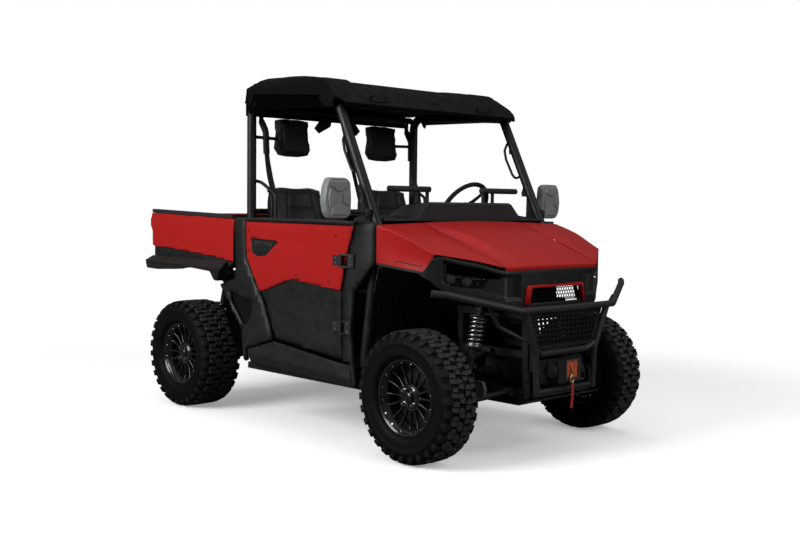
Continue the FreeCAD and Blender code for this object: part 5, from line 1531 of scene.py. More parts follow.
def makeBacks():
    piece = padShape("seat_backs", 8, 0.006)
    swell(piece, 0.009, lambda p: smoothStep(0.91, 0.95, p.z))

    def depth(p, normal):
        y = abs(p.y) - 0.355
        front = smoothStep(0.4, 0.75, normal.x)
        edge = 0.118 - 0.03 * smoothStep(1.12, 1.34, p.z)
        seam = ridge(abs(y) - edge, 0.007) * 0.008 * front
        inside = smoothStep(edge, edge - 0.012, abs(y))
        for z in (1.0, 1.08, 1.16, 1.24):
            seam += ridge(p.z - z, 0.008) * 0.005 * front * inside
        side = ridge(abs(y) - 0.176, 0.005) * 0.004 * smoothStep(0.3, 0.6,
            abs(normal.y) + normal.z * 0.6) * (1 - front)
        hollow = 0.007 * front * smoothStep(0.13, 0.0, abs(y))
        pinch = 0.006 * abs(normal.y) * ridge(p.z - 1.14, 0.12)
        shoulder = 0.014 * smoothStep(1.26, 1.37, p.z) * smoothStep(0.1, 0.19, abs(y))
        return seam + side + hollow + pinch + shoulder

    sew(piece, depth, (-0.4318, -0.5448, 0.9066), (-0.2412, -0.1652, 1.3718))
    finishPads("seat_back", piece, "seat_backs")


def makeHeadrests():
    piece = padShape("headrests", 10, 0.005)
    swell(piece, 0.010, lambda p: 1.0)
    ys = [v.co.y for v in piece.data.vertices]
    inner, outer = min(ys), max(ys)
    middle = (inner + outer) / 2
    subdivide(piece, 1)
    bakeModifiers(piece)

    def depth(p, normal):
        y = abs(p.y - middle)
        band = ridge(p.x + 0.385, 0.0035) * 0.003 * (1 - abs(normal.x))
        front = smoothStep(0.5, 0.8, normal.x)
        line = ridge(y - 0.092 + 0.018 * smoothStep(1.62, 1.56, p.z), 0.005) * 0.0035 * front
        return band + line

    sew(piece, depth, (-0.4478, inner, 1.5482), (-0.3502, outer, 1.7718))
    finishPads("headrest", piece, "headrests")


makeCushions()
makeBacks()
makeHeadrests()


# Belts
rearPost = -0.395
cageHalf = 0.655


def makeBelts():
    for side in (-1, 1):
        bm = bmesh.new()
        route = [(rearPost, side * 0.588, 1.801), (rearPost, side * 0.588, 1.75),
            (-0.352, side * 0.5865, 1.685), (-0.348, side * 0.584, 1.556)]
        line = roundRoute(route, 0.06, 10)
        spaced = []
        for a, b in zip(line, line[1:]):
            count = max(1, int((b - a).length / 0.0022))
            for n in range(count):
                spaced.append(a.lerp(b, n / count))
        spaced.append(Vector(line[-1]))
        rings = []
        travel = 0.0
        for n, place in enumerate(spaced):
            ahead = (spaced[min(n + 1, len(spaced) - 1)] - spaced[max(n - 1, 0)]).normalized()
            travel += (place - spaced[max(n - 1, 0)]).length
            across = Vector((0, 1, 0))
            deep = ahead.cross(across).normalized()
            size = 0.0197 + 0.0021 * math.cos(travel * math.tau / 0.011)
            size *= mix(0.72, 1.0, smoothStep(0.04, 0.06, travel))
            rings.append([place + across * (size * math.cos(a)) + deep * (size * 0.85 * math.sin(a))
                for a in turns(18)])
        loft(bm, rings)
        makePiece("belt_sleeve_" + sideName(side), bm, "gripRubber", ["seat_belts"] if side == 1 else (),
            angle=70)
        bm = bmesh.new()
        web = mm(-341.5, 1575, -339.5, 1530, -310, 1420, -266.8, 1290, -265.5, 1100, -265.5, 950, -265.5,
            793.5)
        rings = []
        for x, z in curveLine(web, 40):
            half = mix(0.0165, 0.0205, smoothStep(1.56, 1.42, z))
            centre = side * mix(0.5845, 0.5855, smoothStep(1.56, 1.42, z))
            rings.append([(x - 0.0012, centre - half, z), (x + 0.0012, centre - half, z),
                (x + 0.0012, centre + half, z), (x - 0.0012, centre + half, z)])
        loft(bm, rings)
        webPiece = makePiece("belt_web_" + sideName(side), bm, "beltWeb", angle=40)
        bm = bmesh.new()
        brick(bm, (-0.2695, side * 0.5855 - 0.019, 0.91), (-0.2635, side * 0.5855 + 0.019, 0.945))
        buckle = makePiece("belt_tongue_" + sideName(side), bm, "shaftSteel", angle=40, bevel=0.001)


def curveLine(points, count):
    line = []
    for n in range(count):
        t = n / (count - 1) * (len(points) - 1)
        k = min(len(points) - 2, int(t))
        f = t - k
        before = points[max(0, k - 1)]
        after = points[min(len(points) - 1, k + 2)]
        a, b = points[k], points[k + 1]
        place = [0.5 * (2 * a[c] + (b[c] - before[c]) * f + (2 * before[c] - 5 * a[c] + 4 * b[c] - after[c])
            * f * f + (3 * a[c] - before[c] - 3 * b[c] + after[c]) * f ** 3) for c in range(len(a))]
        line.append(tuple(place))
    return line


makeBelts()

# Cage tubes
print("stage: cage")


def makeCage():
    for side in (-1, 1):
        bm = bmesh.new()
        route = [(0.604, side * cageHalf, 0.431), (0.704, side * cageHalf, 1.15),
            (0.382, side * cageHalf, 1.806), (rearPost, side * cageHalf, 1.838),
            (rearPost, side * cageHalf, 0.431)]
        tube(bm, route, 0.0268, 0.07, 22)
        for x in (0.604, rearPost):
            brick(bm, (x - 0.027, side * cageHalf - 0.023, 0.4302), (x + 0.027, side * cageHalf + 0.023,
                0.4398))
        handle = mm(463, 1652, 430, 1645, 411, 1604, 424, 1551, 477, 1456, 501, 1435, 532, 1443, 562, 1450)
        tube(bm, [(x, side * 0.647, z) for x, z in handle], 0.0075, 0.02, 12)
        polygon(bm, mm(583, 1192, 685, 1192, 612, 1352, 600, 1360, 586, 1360), "y",
            *span(side, 0.652, 0.658))
        for x, z in ((0.549, 1.35), (0.445, 1.605)):
            polygon(bm, [(x + 0.04, z - 0.026), (x + 0.034, z + 0.03), (x + 0.012, z + 0.03),
                (x + 0.006, z + 0.008), (x, z + 0.004), (x + 0.004, z - 0.024)], "y",
                *span(side, 0.646, 0.664))
        makePiece("cage_tube_" + sideName(side), bm, "cagePaint", ["cage_" + sideName(side)], angle=50)
    bm = bmesh.new()
    tube(bm, [(0.372, -0.6275, 1.812), (0.372, 0.6275, 1.812)], 0.0198, 0, 18)
    tube(bm, [(rearPost, -0.6275, 1.822), (rearPost, 0.6275, 1.822)], 0.0198, 0, 18)
    low = [(-0.4185, 0.6275, 1.222), (-0.4615, 0.56, 1.222)]
    tube(bm, low + mirrored(low[::-1]), 0.0158, 0.05, 16)
    tube(bm, [(rearPost, 0.02, 1.818), (-0.4615, 0.265, 1.224)], 0.0125, 0, 16)
    for side in (-1, 1):
        plate = [(side * y, z) for y, z in ((0.04, 1.805), (0.12, 1.805), (0.185, 1.73), (0.15, 1.7),
            (0.06, 1.745))]
        polygon(bm, plate, "x", -0.404, -0.398)
        for y, z in ((0.1, 1.782), (0.15, 1.73)):
            bolt(bm, (-0.398, side * y, z), (1, 0, 0), 0.007, 0.006, 6)
    makePiece("cage_bars", bm, "cagePaint", ["cage_cross"], angle=50)
    bm = bmesh.new()
    for side in (-1, 1):
        route = [(rearPost, side * 0.642, 1.402), (-0.372, side * 0.605, 1.392),
            (-0.33, side * 0.605, 1.372), (-0.232, side * 0.605, 1.316), (-0.228, side * 0.605, 0.7905)]
        tube(bm, route, 0.0098, 0.03, 14)
        tube(bm, [(rearPost, side * 0.642, 1.654), (rearPost, side * 0.48, 1.65)], 0.0098, 0, 14)
    makePiece("cab_rails", bm, "cagePaint", ["cab_bars"], angle=50)


makeCage()


# Mirrors
mirrorMiddle = (0.849, 1.297)


def mirrorRing(outline, side, x, share):
    middleY, middleZ = mirrorMiddle
    return [(x, side * (middleY + (y - middleY) * share), middleZ + (z - middleZ) * share) for y,
        z in outline]


def mirrorPanel(bm, outline, low, high, inset, place):
    middle = [sum(p[n] for p in outline) / len(outline) for n in (0, 1)]
    loft(bm, [[place(mix(middle[0], s, share), mix(middle[1], t, share), x) for s, t in outline] for x,
        share in ((low, 1.0), (mix(low, high, 0.55), 1.0 - inset * 0.25), (high, 1.0 - inset))])


def makeMirrors():
    outline = mm(762.5, 1215, 790, 1193.5, 900, 1193.5, 925.5, 1225, 936.5, 1290, 925.5, 1360, 905, 1400.5,
        790, 1400.5, 766.5, 1380, 760.5, 1300)
    for side in (-1, 1):
        closed = roundOutline(outline, 0.014)
        bm = bmesh.new()
        loft(bm, [mirrorRing(closed, side, x, share) for x, share in ((0.5705, 0.955), (0.5745, 0.985),
            (0.59, 1.0), (0.605, 0.992), (0.6135, 0.965), (0.6175, 0.93))])
        panels = [[(-0.66, 0.84), (0.62, 0.84), (0.56, 0.56), (0.14, 0.3), (-0.14, 0.3), (-0.7, 0.5)],
            [(-0.66, -0.84), (0.6, -0.84), (0.54, -0.56), (0.14, -0.32), (-0.14, -0.32), (-0.66, -0.52)],
            [(0.3, 0.2), (0.68, 0.46), (0.78, 0.0), (0.68, -0.46), (0.3, -0.22)],
            [(-0.3, 0.2), (-0.76, 0.38), (-0.76, -0.4), (-0.3, -0.22)]]
        for shape in panels:
            mirrorPanel(bm, shape, 0.616, 0.6258, 0.2, lambda s, t,
                x: (x, side * (mirrorMiddle[0] + s * 0.088), mirrorMiddle[1] + t * 0.104))
        makePiece("mirror_shell_" + sideName(side), bm, "mirrorPlastic", ["mirrors"] if side == 1 else (),
            angle=24, bevel=0.0012)
        bm = bmesh.new()
        loft(bm, [mirrorRing(closed, side, x, share) for x, share in ((0.5722, 0.93), (0.5703, 0.925))])
        makePiece("mirror_glass_" + sideName(side), bm, "mirrorGlass")
        bm = bmesh.new()
        tube(bm, sided(side, 600, 776, 1230, 640, 730, 1228, 668.5, 700, 1226), 0.0105, 0.02, 16)
        profile = mm(1, -20, 14.5, -19.5, 15.8, -17, 15.8, 17, 14.5, 19.5, 1, 20)
        rings = [[(0.6685 + r * math.cos(a), side * 0.6985 + r * math.sin(a), 1.226 + z) for a in turns(20)]
            for r, z in profile]
        loft(bm, rings)
        for z in (1.2165, 1.2355):
            bolt(bm, (0.6845, side * 0.7, z), (1, 0, 0), 0.0035, 0.002, 6)
        makePiece("mirror_arm_" + sideName(side), bm, "blackPlastic", angle=40)


def roundOutline(points, radius, steps=4):
    full = []
    count = len(points)
    for n, (a, b) in enumerate(points):
        here = Vector((a, b))
        before = Vector(points[n - 1])
        after = Vector(points[(n + 1) % count])
        reach = min(radius, (before - here).length * 0.45, (after - here).length * 0.45)
        start = here + (before - here).normalized() * reach
        end = here + (after - here).normalized() * reach
        for k in range(steps + 1):
            f = k / steps
            place = start * (1 - f) ** 2 + here * (2 * f * (1 - f)) + end * f ** 2
            full.append((place.x, place.y))
    return full


makeMirrors()

# Dashboard, steering wheel and pedals
print("stage: dashboard")


def makeDash():
    bm = bmesh.new()
    profile = mm(671.5, 1182.5, 741.5, 1182.5, 741.5, 1190.5, 560, 1211.5, 470, 1195.5, 440.5, 1130, 450.5,
        980, 520, 940.5, 600, 960.5, 649.5, 1060, 649.5, 1130, 671.5, 1130)
    polygon(bm, profile, "y", -0.6175, 0.6175)
    makePiece("dash_body", bm, "innerPlastic", ["dashboard"], bevel=0.006, segments=3)
    bm = bmesh.new()
    rings = []
    for level, low, high in ((0.0, 0.0, 0.0), (0.9, 0.0, 0.0), (0.97, 0.004, 0.0), (1.0, 0.011, 0.0)):
        front = mix(0.7415, 0.7395, level) - low
        back = mix(0.5005, 0.5605, level) + low
        half = mix(0.4228, 0.3275, level) - low
        backHalf = mix(0.4228, 0.34, level) - low
        zFront = mix(1.19, 1.2838, level)
        zBack = mix(1.2005, 1.2698, level)
        rings.append([(front, -half, zFront), (front, half, zFront), (back, backHalf, zBack),
            (back, -backHalf, zBack)])
    loft(bm, rings)
    makePiece("dash_cowl", bm, "casePlastic", bevel=0.004, segments=3)
    bm = bmesh.new()
    brick(bm, (0.6745, -0.6275, 1.1835), (0.7415, 0.6275, 1.1908))
    for side in (-1, 1):
        rings = []
        for y, share in ((0.2055, 0.55), (0.2075, 0.8), (0.2145, 1.0), (0.498, 1.0), (0.51, 0.8),
                (0.5145, 0.5)):
            half = 0.0198 * share
            up = 0.0158 * mix(1.0, share, 0.7)
            ring = [(0.62 + a * half, side * y, 1.352 + b * up) for a,
                b in ((-1, -0.35), (-0.6, -1), (0.6, -1), (1, -0.35), (1, 0.35), (0.6, 1), (-0.6, 1),
                (-1, 0.35))]
            rings.append(ring)
        loft(bm, rings)
        for y in (0.225, 0.305):
            sideBrick(bm, side, (0.6125, (y - 0.0078), 1.276), (0.6275, (y + 0.0078), 1.34))
    makePiece("dash_bars", bm, "casePlastic", bevel=0.0022)
    bm = bmesh.new()
    for y0, y1, z0, z1 in ((0.26, 0.49, 1.03, 1.16), (-0.07, 0.12, 1.0, 1.15), (-0.5, -0.2, 1.02, 1.15)):
        outline = roundOutline([(y0, z0), (y1, z0), (y1, z1), (y0, z1)], 0.02)
        loft(bm, [[(x, mix((y0 + y1) / 2, y, share), mix((z0 + z1) / 2, z, share)) for y, z in outline]
            for x, share in ((0.452, 1.0), (0.4425, 1.0), (0.441, 0.96), (0.4465, 0.93))])
    makePiece("dash_panels", bm, "casePlastic")
    bm = bmesh.new()
    for y in (0.3, 0.43):
        outline = roundOutline([(y - 0.0315, 0.5605), (y + 0.0315, 0.5605), (y + 0.0315, 0.6195),
            (y - 0.0315, 0.6195)], 0.01)
        loft(bm, [[(x, y + (b - y) * s, 0.59 + (c - 0.59) * s) for b, c in outline] for x,
            s in ((0.5695, 0.95), (0.568, 1.0), (0.562, 1.0), (0.5605, 0.96))])
        for z in (0.572, 0.583, 0.594, 0.605):
            brick(bm, (0.5603, y - 0.026, z), (0.562, y + 0.026, z + 0.005))
        tube(bm, [(0.5745, y, 0.601), (0.5745, y, 0.951)], 0.0055, 0, 12)
        brick(bm, (0.5685, y - 0.0055, 0.5905), (0.5795, y + 0.0055, 0.61))
    makePiece("pedal_pair", bm, "framePaint", ["pedals"], angle=35)


def makeSteering():
    centre = Vector((0.33, 0.375, 1.245))
    tilt = math.radians(32)
    out = Vector((-math.cos(tilt), 0, math.sin(tilt)))
    across = Vector((0, 1, 0))
    up = Vector((math.sin(tilt), 0, math.cos(tilt)))

    def spot(a, r, lift):
        return centre + across * (r * math.cos(a)) + up * (r * math.sin(a)) + out * lift

    bm = bmesh.new()
    rings = []
    for n in range(64):
        a = n * math.tau / 64
        grip = 0.0143 - 0.0012 * (0.5 + 0.5 * math.cos(a * 3))
        rings.append([spot(a, 0.175 + grip * math.cos(b), grip * math.sin(b)) for b in turns(18)])
    rings.append(rings[0])
    loft(bm, rings, caps=False)
    makePiece("wheel_rim_grip", bm, "gripRubber", ["steering_wheel"], body="steering_wheel", angle=60)
    bm = bmesh.new()
    loft(bm, [[spot(a, r, lift) for a in turns(32)] for lift, r in ((-0.012, 0.001), (-0.012, 0.034),
        (-0.006, 0.0465), (0.004, 0.0475), (0.0105, 0.044), (0.0138, 0.034), (0.0138, 0.001))])
    for angle in (180, 310, 50):
        a = math.radians(angle)
        side = up * math.cos(a) - across * math.sin(a)
        rings = []
        for r, half, lift in ((0.038, 0.02, 0.004), (0.075, 0.0145, 0.0), (0.12, 0.012, -0.002),
                (0.168, 0.0145, 0.0)):
            middle = spot(a, r, lift)
            rings.append([middle - side * half - out * 0.004, middle + side * half - out * 0.004,
                middle + side * (half - 0.003) + out * 0.004, middle - side * (half - 0.003) + out * 0.004])
        loft(bm, rings)
    makePiece("wheel_hub", bm, "casePlastic", body="steering_wheel", angle=35, bevel=0.001)


makeDash()
makeSteering()

# Roof
print("stage: roof")
roofLine = mm(-469.7, 1860, -457, 1895, -430, 1935, -390, 1966, -350, 1983, -310, 1986.5, -250, 1985, -50,
    1978.5, 30, 1973.5, 160, 1957.5, 268, 1939.5, 372, 1867.5, 469.5, 1799.5)
roofFlank = mm(0, 2200, 560, 2010, 598, 1988.5, 638, 1961, 668, 1929.5, 684, 1900, 705.5, 1860, 711.5,
    1778.5)


# Height of the roof skin: a raised border round a lower middle, a rounded nose and dropped flanks.
def roofHeight(x, y):
    y = abs(y)
    height = along(roofLine, x) + 0.006 * smoothStep(0.2, 0.3, x) * smoothStep(0.4695, 0.36, x)
    height = min(height, along(roofFlank, y))
    inner = smoothStep(0.5, 0.47, y) * smoothStep(-0.33, -0.29, x) * smoothStep(0.36, 0.28, x)
    height -= 0.011 * inner
    channel = smoothStep(0.03, 0.012, abs(y - 0.3)) + smoothStep(0.03, 0.012, y)
    height -= 0.005 * channel * smoothStep(-0.25, -0.22, x) * smoothStep(0.24, 0.2, x)
    bump = max(0.0, 1.847 - height)
    return height + bump * smoothStep(0.068, 0.05, abs(y - 0.42)) * smoothStep(0.4425, 0.4415, x)


# How far out the skin reaches: down to the skirt, but only to the cut-out's edge between the pillars.
def roofEdge(x):
    low = along(mm(-470, 1778.5, -335, 1778.5, -322, 1900, 286, 1855, 326, 1778.5, 470, 1778.5), x)
    for (ya, za), (yb, zb) in zip(roofFlank, roofFlank[1:]):
        if zb <= low <= za:
            return mix(ya, yb, (za - low) / (za - zb))
    return 0.7115


def makeRoof():
    bm = bmesh.new()
    columns = [-0.4697, -0.465, -0.458, -0.45, -0.438, -0.425, -0.412, -0.395, -0.37, -0.35, -0.338, -0.33,
        -0.322, -0.31, -0.29]
    columns += [-0.275 + 0.0125 * n for n in range(45)] + [0.286, 0.296, 0.306, 0.316, 0.326, 0.34, 0.355,
        0.372, 0.386, 0.4, 0.414, 0.428, 0.437, 0.4412, 0.4428, 0.45, 0.46, 0.4697]
    spread = [0.0, 0.012, 0.03, 0.1, 0.2, 0.27, 0.288, 0.312, 0.33, 0.345, 0.352, 0.36, 0.37, 0.385, 0.42,
        0.455, 0.468, 0.478, 0.488, 0.5, 0.53, 0.56, 0.57, 0.58, 0.59, 0.6, 0.612, 0.625, 0.638, 0.648,
        0.658, 0.668, 0.678, 0.687, 0.696, 0.705, 0.7115]
    ys = [-y for y in spread[::-1][:-1]] + spread

    def spot(i, j):
        x, y = columns[i], abs(ys[j])
        if y > 0.6:
            y = mix(0.6, roofEdge(x), (y - 0.6) / 0.1115)
        y *= 1 - 0.095 * smoothStep(-0.34, -0.475, x) - 0.06 * smoothStep(0.4, 0.475, x)
        return (x, y if ys[j] > 0 else -y, roofHeight(x, y))

    grid = skin(bm, [[spot(i, j) for j in range(len(ys))] for i in range(len(columns))])
    # A rolled lip along each long side, and the front and rear lips.
    for j, side in ((0, -1), (len(ys) - 1, 1)):
        below = []
        for i, x in enumerate(columns):
            edge = grid[i][j].co
            if edge.z > 1.8:
                roll = ((0.006, -0.001), (0.0075, -0.009), (-0.004, -0.012), (-0.02, -0.01))
            else:
                roll = ((0, -0.0001), (-0.002, -0.0002), (-0.01, -0.0002), (-0.02, 0.0))
            below.append([bm.verts.new((x, edge.y + side * out, edge.z + up)) for out, up in roll])
        for i in range(len(columns) - 1):
            rowA = [grid[i][j]] + below[i]
            rowB = [grid[i + 1][j]] + below[i + 1]
            for m in range(4):
                bm.faces.new((rowA[m], rowB[m], rowB[m + 1], rowA[m + 1]))
    for i, x in ((0, -0.4697), (len(columns) - 1, 0.4697)):
        row = [bm.verts.new((x, grid[i][j].co.y, min(1.7785, grid[i][j].co.z - 0.0001)))
            for j in range(len(ys))]
        for j in range(len(ys) - 1):
            bm.faces.new((grid[i][j], grid[i][j + 1], row[j + 1], row[j]))
    makePiece("roof_skin", bm, "roofPlastic", ["roof"], angle=32, thick=0.004, facing=(0, 0, 1))
    bm = bmesh.new()
    for side in (-1, 1):
        loft(bm, [[(x, side * (0.42 + half), z0), (x, side * (0.42 - half), z0),
            (x, side * (0.42 - half * 0.82), z1), (x, side * (0.42 + half * 0.82), z1)] for x, z0, z1,
            half in ((0.4405, 1.822, 1.843, 0.05), (0.4455, 1.82, 1.841, 0.05),
            (0.4455, 1.823, 1.838, 0.046), (0.4425, 1.823, 1.838, 0.046))])
    makePiece("roof_scoops", bm, "innerPlastic")
    bm = bmesh.new()
    sheetGrid(bm, liner, 24, 24)
    makePiece("roof_liner", bm, "innerPlastic", angle=40, thick=0.003, facing=(0, 0, -1))
    bm = bmesh.new()
    for x, y in ((-0.38, 0.54), (-0.38, -0.54), (0.22, 0.53), (0.22, -0.53), (-0.08, 0.53), (-0.08, -0.53)):
        bolt(bm, (x, y, roofHeight(x, y) - 0.0005), (0, 0, 1), 0.011, 0.002, 12)
    makePiece("roof_trim", bm, "casePlastic", angle=40)


# Near-black sheets of painted shade between the skin's long edges and the cage's top tubes.
def makeRoofShadeSheets():
    bm = bmesh.new()
    for side in (-1, 1):
        polygon(bm, mm(-335, 1795, -335, 1898, 286, 1855, 330, 1800, 330, 1776, 200, 1785), "y",
            *span(side, 0.683, 0.685))
    makePiece("roof_valances", bm, "deepShade")


def liner(u, v):
    x = mix(-0.452, 0.4, u)
    y = mix(-0.655, 0.655, v)
    edge = 1 - smoothStep(0.5, 0.655, abs(y))
    return (x, y, min(1.85 + 0.01 * edge, roofHeight(x, y) - 0.02))


makeRoof()
makeRoofShadeSheets()

# Cargo bed
print("stage: bed")


def railTop(x):
    return 1.199 + (-0.42 - x) / 0.932 * 0.027


def makeBed():
    bm = bmesh.new()
    floorTop = 0.902
    ribs = []
    y = -0.655
    while y < 0.6549:
        ribs.append(y)
        y += 0.01
    skin(bm, [[(x, y, floorTop - 0.0015 - 0.004 * (int((y + 0.655) / 0.04) % 2)) for y in ribs]
        for x in (-1.3905, -0.528)])
    makePiece("bed_floor", bm, "blackPlastic", body="cargo_bed", angle=25, thick=0.0045, facing=(0, 0, 1))
    bm = bmesh.new()
    for side in (-1, 1):
        inner = []
        for n in range(88):
            x = mix(-1.3905, -0.53, n / 87)
            press = 0.006 * (smoothStep(0.03, 0.045, abs((x + 1.3905) % 0.144 - 0.072)))
            inner.append([(x, side * (0.661 + (press if row in (1, 2) else 0)), z) for row,
                z in enumerate((0.9, 0.945, railTop(x) - 0.06, railTop(x) - 0.0245))])
        skin(bm, inner)
        polygon(bm, [(-1.391, 0.8905), (-0.5, 0.8905), (-0.5, railTop(-0.5) - 0.0243),
            (-1.391, railTop(-1.391) - 0.0243)], "y", *span(side, 0.6695, 0.6995))
    front = []
    for n in range(133):
        y = mix(-0.66, 0.66, n / 132)
        press = 0.007 * smoothStep(0.03, 0.045, abs((y + 0.66) % 0.165 - 0.0825))
        front.append([(-0.5275 + (press if row in (1, 2) else 0), y, z) for row,
            z in enumerate((0.9, 0.945, 1.12, railTop(-0.52) - 0.025))])
    skin(bm, front)
    brick(bm, (-0.519, -0.6995, 0.8905), (-0.4985, 0.6995, railTop(-0.5) - 0.026))
    makePiece("bed_walls", bm, "blackPlastic", ["bed_box"], body="cargo_bed")
    bm = bmesh.new()
    brick(bm, (-1.3905, -0.6995, 0.8905), (-0.4985, 0.6995, 0.8955))
    for y in (-0.33, 0.33):
        brick(bm, (-1.39, y - 0.0195, 0.8625), (-0.5, y + 0.0195, 0.8915))
    for x in (-1.25, -1.05, -0.85, -0.65):
        brick(bm, (x - 0.018, -0.69, 0.876), (x + 0.018, 0.69, 0.8915))
    for side in (-1, 1):
        for y0, y1 in ((0.4705, 0.4815), (0.5185, 0.5295)):
            polygon(bm, mm(-1411.5, 895.5, -1404, 887, -1387.5, 887, -1387.5, 901, -1404.5, 901), "y",
                *span(side, y0, y1))
        polygon(bm, mm(-1315, 862.5, -1310, 857.5, -1290, 857.5, -1285, 862.5, -1285, 891.5, -1315, 891.5),
            "y", *span(side, 0.1855, 0.1945))
    makePiece("bed_frame", bm, "framePaint", body="cargo_bed", bevel=0.001)
    bm = bmesh.new()
    for side in (-1, 1):
        rings = []
        for x in [mix(-1.3915, -0.4995, n / 30) for n in range(31)]:
            top = railTop(x)
            rings.append([(x, side * y, top + z) for y, z in ((0.6905, -0.0235), (0.6905, -0.003),
                (0.6935, -0.0004), (0.7185, -0.0004), (0.7215, -0.003), (0.7215, -0.0235))])
        loft(bm, rings)
    brick(bm, (-0.5265, -0.69, railTop(-0.51) - 0.0235), (-0.4995, 0.69, railTop(-0.51) - 0.0008))
    makePiece("bed_rail", bm, "casePlastic", body="cargo_bed", bevel=0.001)


def sideOutline():
    line = [(-1.3925, railTop(-1.3925) - 0.0246), (-0.5005, railTop(-0.5) - 0.0246), (-0.4785, 1.172),
        (-0.4865, 0.925), (-0.5, 0.921), (-0.667, 0.944), (-0.84, 0.956), (-1.113, 0.976), (-1.366, 0.986),
        (-1.3915, 0.99), (-1.3975, 1.09), (-1.4265, 1.134), (-1.4015, 1.1975)]
    return roundOutline(line, 0.02, 4)


# The dark skirt between the painted side and the flare.
def skirtOutline():
    line = mm(-1365.5, 985.5, -1113, 975.5, -840, 955.5, -667, 943.5, -499.5, 920.5, -486.5, 920, -520.5,
        890.5, -900, 890.5, -1365.5, 905.5)
    return roundOutline(line, 0.004, 2)


def sideReach(x, z):
    y = 0.7205
    top = smoothStep(railTop(x) - 0.065, railTop(x) - 0.03, z)
    dimple = 0.0
    for cx in (-1.3, -0.98, -0.62):
        dimple = max(dimple, smoothStep(0.045, 0.03, abs(x - cx)) * smoothStep(0.012, 0.006,
            abs(z - (railTop(cx) - 0.05))))
    fold = smoothStep(0.0, 0.01, belowLine((-1.4, 0.99), (-0.48, 0.925), x, z))
    return y + 0.0022 * (1 - fold) - 0.003 * dimple - 0.0008 * top


def makeSides():
    for side in (-1, 1):
        bm = bmesh.new()
        skinPatch(bm, sideOutline(), side, sideReach, 0.006, 0.011)
        makePiece("bed_skin_" + sideName(side), bm, "redPaint", ["bed_sides"] if side == 1 else (),
            body="cargo_bed", angle=40, thick=0.0026, facing=(0, side, 0))
        bm = bmesh.new()
        skinPatch(bm, skirtOutline(), side, lambda x, z: 0.7215, 0.002, 0.012)
        makePiece("bed_skirt_" + sideName(side), bm, "blackPlastic", body="cargo_bed", angle=40,
            thick=0.002, facing=(0, side, 0))
        bm = bmesh.new()
        line = roundOutline(mm(-1375.5, 930, -1371.5, 880, -1357.5, 849.5, -1230, 846.5, -1028, 856.5, -846,
            876.5, -640, 862.5, -600, 812.5, -566.5, 808.5, -540.5, 884, -900, 888, -1362.5, 901.5), 0.012,
            4)
        rings = []
        for y, drop, share in ((0.7245, 0.0, 1.0), (0.742, 0.35, 1.0), (0.772, 1.0, 1.0),
                (0.7805, 1.2, 0.99), (0.7825, 1.4, 0.97)):
            ring = []
            for x, z in line:
                crest = along(mm(-1375.5, 930, -1000, 929.5, -600, 928.5, -540.5, 926), x)
                upper = smoothStep(0.865, 0.88, z) if x > -1.36 else smoothStep(0.89, 0.92, z)
                z = mix(z, mix(crest, min(z, 0.905) - 0.004 * (drop - 1), min(1.0, drop)), upper)
                ring.append((x, side * y, 0.872 + (z - 0.872) * share))
            rings.append(ring)
        loft(bm, rings)
        polygon(bm, mm(-1330, 872, -1020, 872, -1020, 864, -1330, 856), "y", *span(side, 0.7795, 0.7829))
        makePiece("bed_flare_" + sideName(side), bm, "blackPlastic", ["rear_flares"] if side == 1 else (),
            body="cargo_bed")
        bm = bmesh.new()
        lens = roundOutline(mm(665, 961, 697, 961, 697, 1149, 665, 1149), 0.008)
        loft(bm, [[(x, side * (0.681 + (y - 0.681) * share), 1.055 + (z - 1.055) * (1 - (1 - share) * 0.2))
            for y, z in lens] for x, share in ((-1.3915, 1.0), (-1.398, 1.0), (-1.4005, 0.93))])
        makePiece("tail_lens_" + sideName(side), bm, "redLens", ["tail_lamps"] if side == 1 else (),
            body="cargo_bed", angle=35)


def makeGate():
    bm = bmesh.new()
    brick(bm, (-1.418, -0.6515, 0.913), (-1.3975, 0.6515, 1.1995))
    for y0, y1, z0, z1 in ((-0.63, 0.63, 0.922, 0.945), (-0.63, 0.63, 1.172, 1.192),
            (-0.63, -0.6, 0.94, 1.175), (0.6, 0.63, 0.94, 1.175), (-0.115, -0.09, 0.94, 1.175),
            (0.09, 0.115, 0.94, 1.175)):
        brick(bm, (-1.4225, y0, z0), (-1.4165, y1, z1))
    makePiece("gate_panel", bm, "redPaint", ["tailgate"], body="tailgate", bevel=0.0025, segments=3)
    bm = bmesh.new()
    outline = roundOutline(mm(-75, 1113, 75, 1113, 75, 1162, -75, 1162), 0.012)
    loft(bm, [[(x, y * share, 1.1375 + (z - 1.1375) * share) for y, z in outline] for x,
        share in ((-1.418, 1.0), (-1.4225, 1.0), (-1.4225, 0.9), (-1.4195, 0.86))])
    tube(bm, [(-1.4215, -0.055, 1.14), (-1.4225, 0, 1.141), (-1.4215, 0.055, 1.14)], 0.0045, 0.02, 10)
    for side in (-1, 1):
        spin(bm, [(a, side * b) for a, b in mm(0.1, 484.5, 8.8, 485, 8.8, 515, 0.1, 515.5)],
            (-1.404, 0, 0.8945), 18)
        sideBrick(bm, side, (-1.4105, 0.486, 0.898), (-1.3985, 0.514, 0.92))
    makePiece("gate_hardware", bm, "blackPlastic", body="tailgate", angle=35)


makeBed()
makeSides()
makeGate()

# Springs, dampers and the running gear
print("stage: springs")


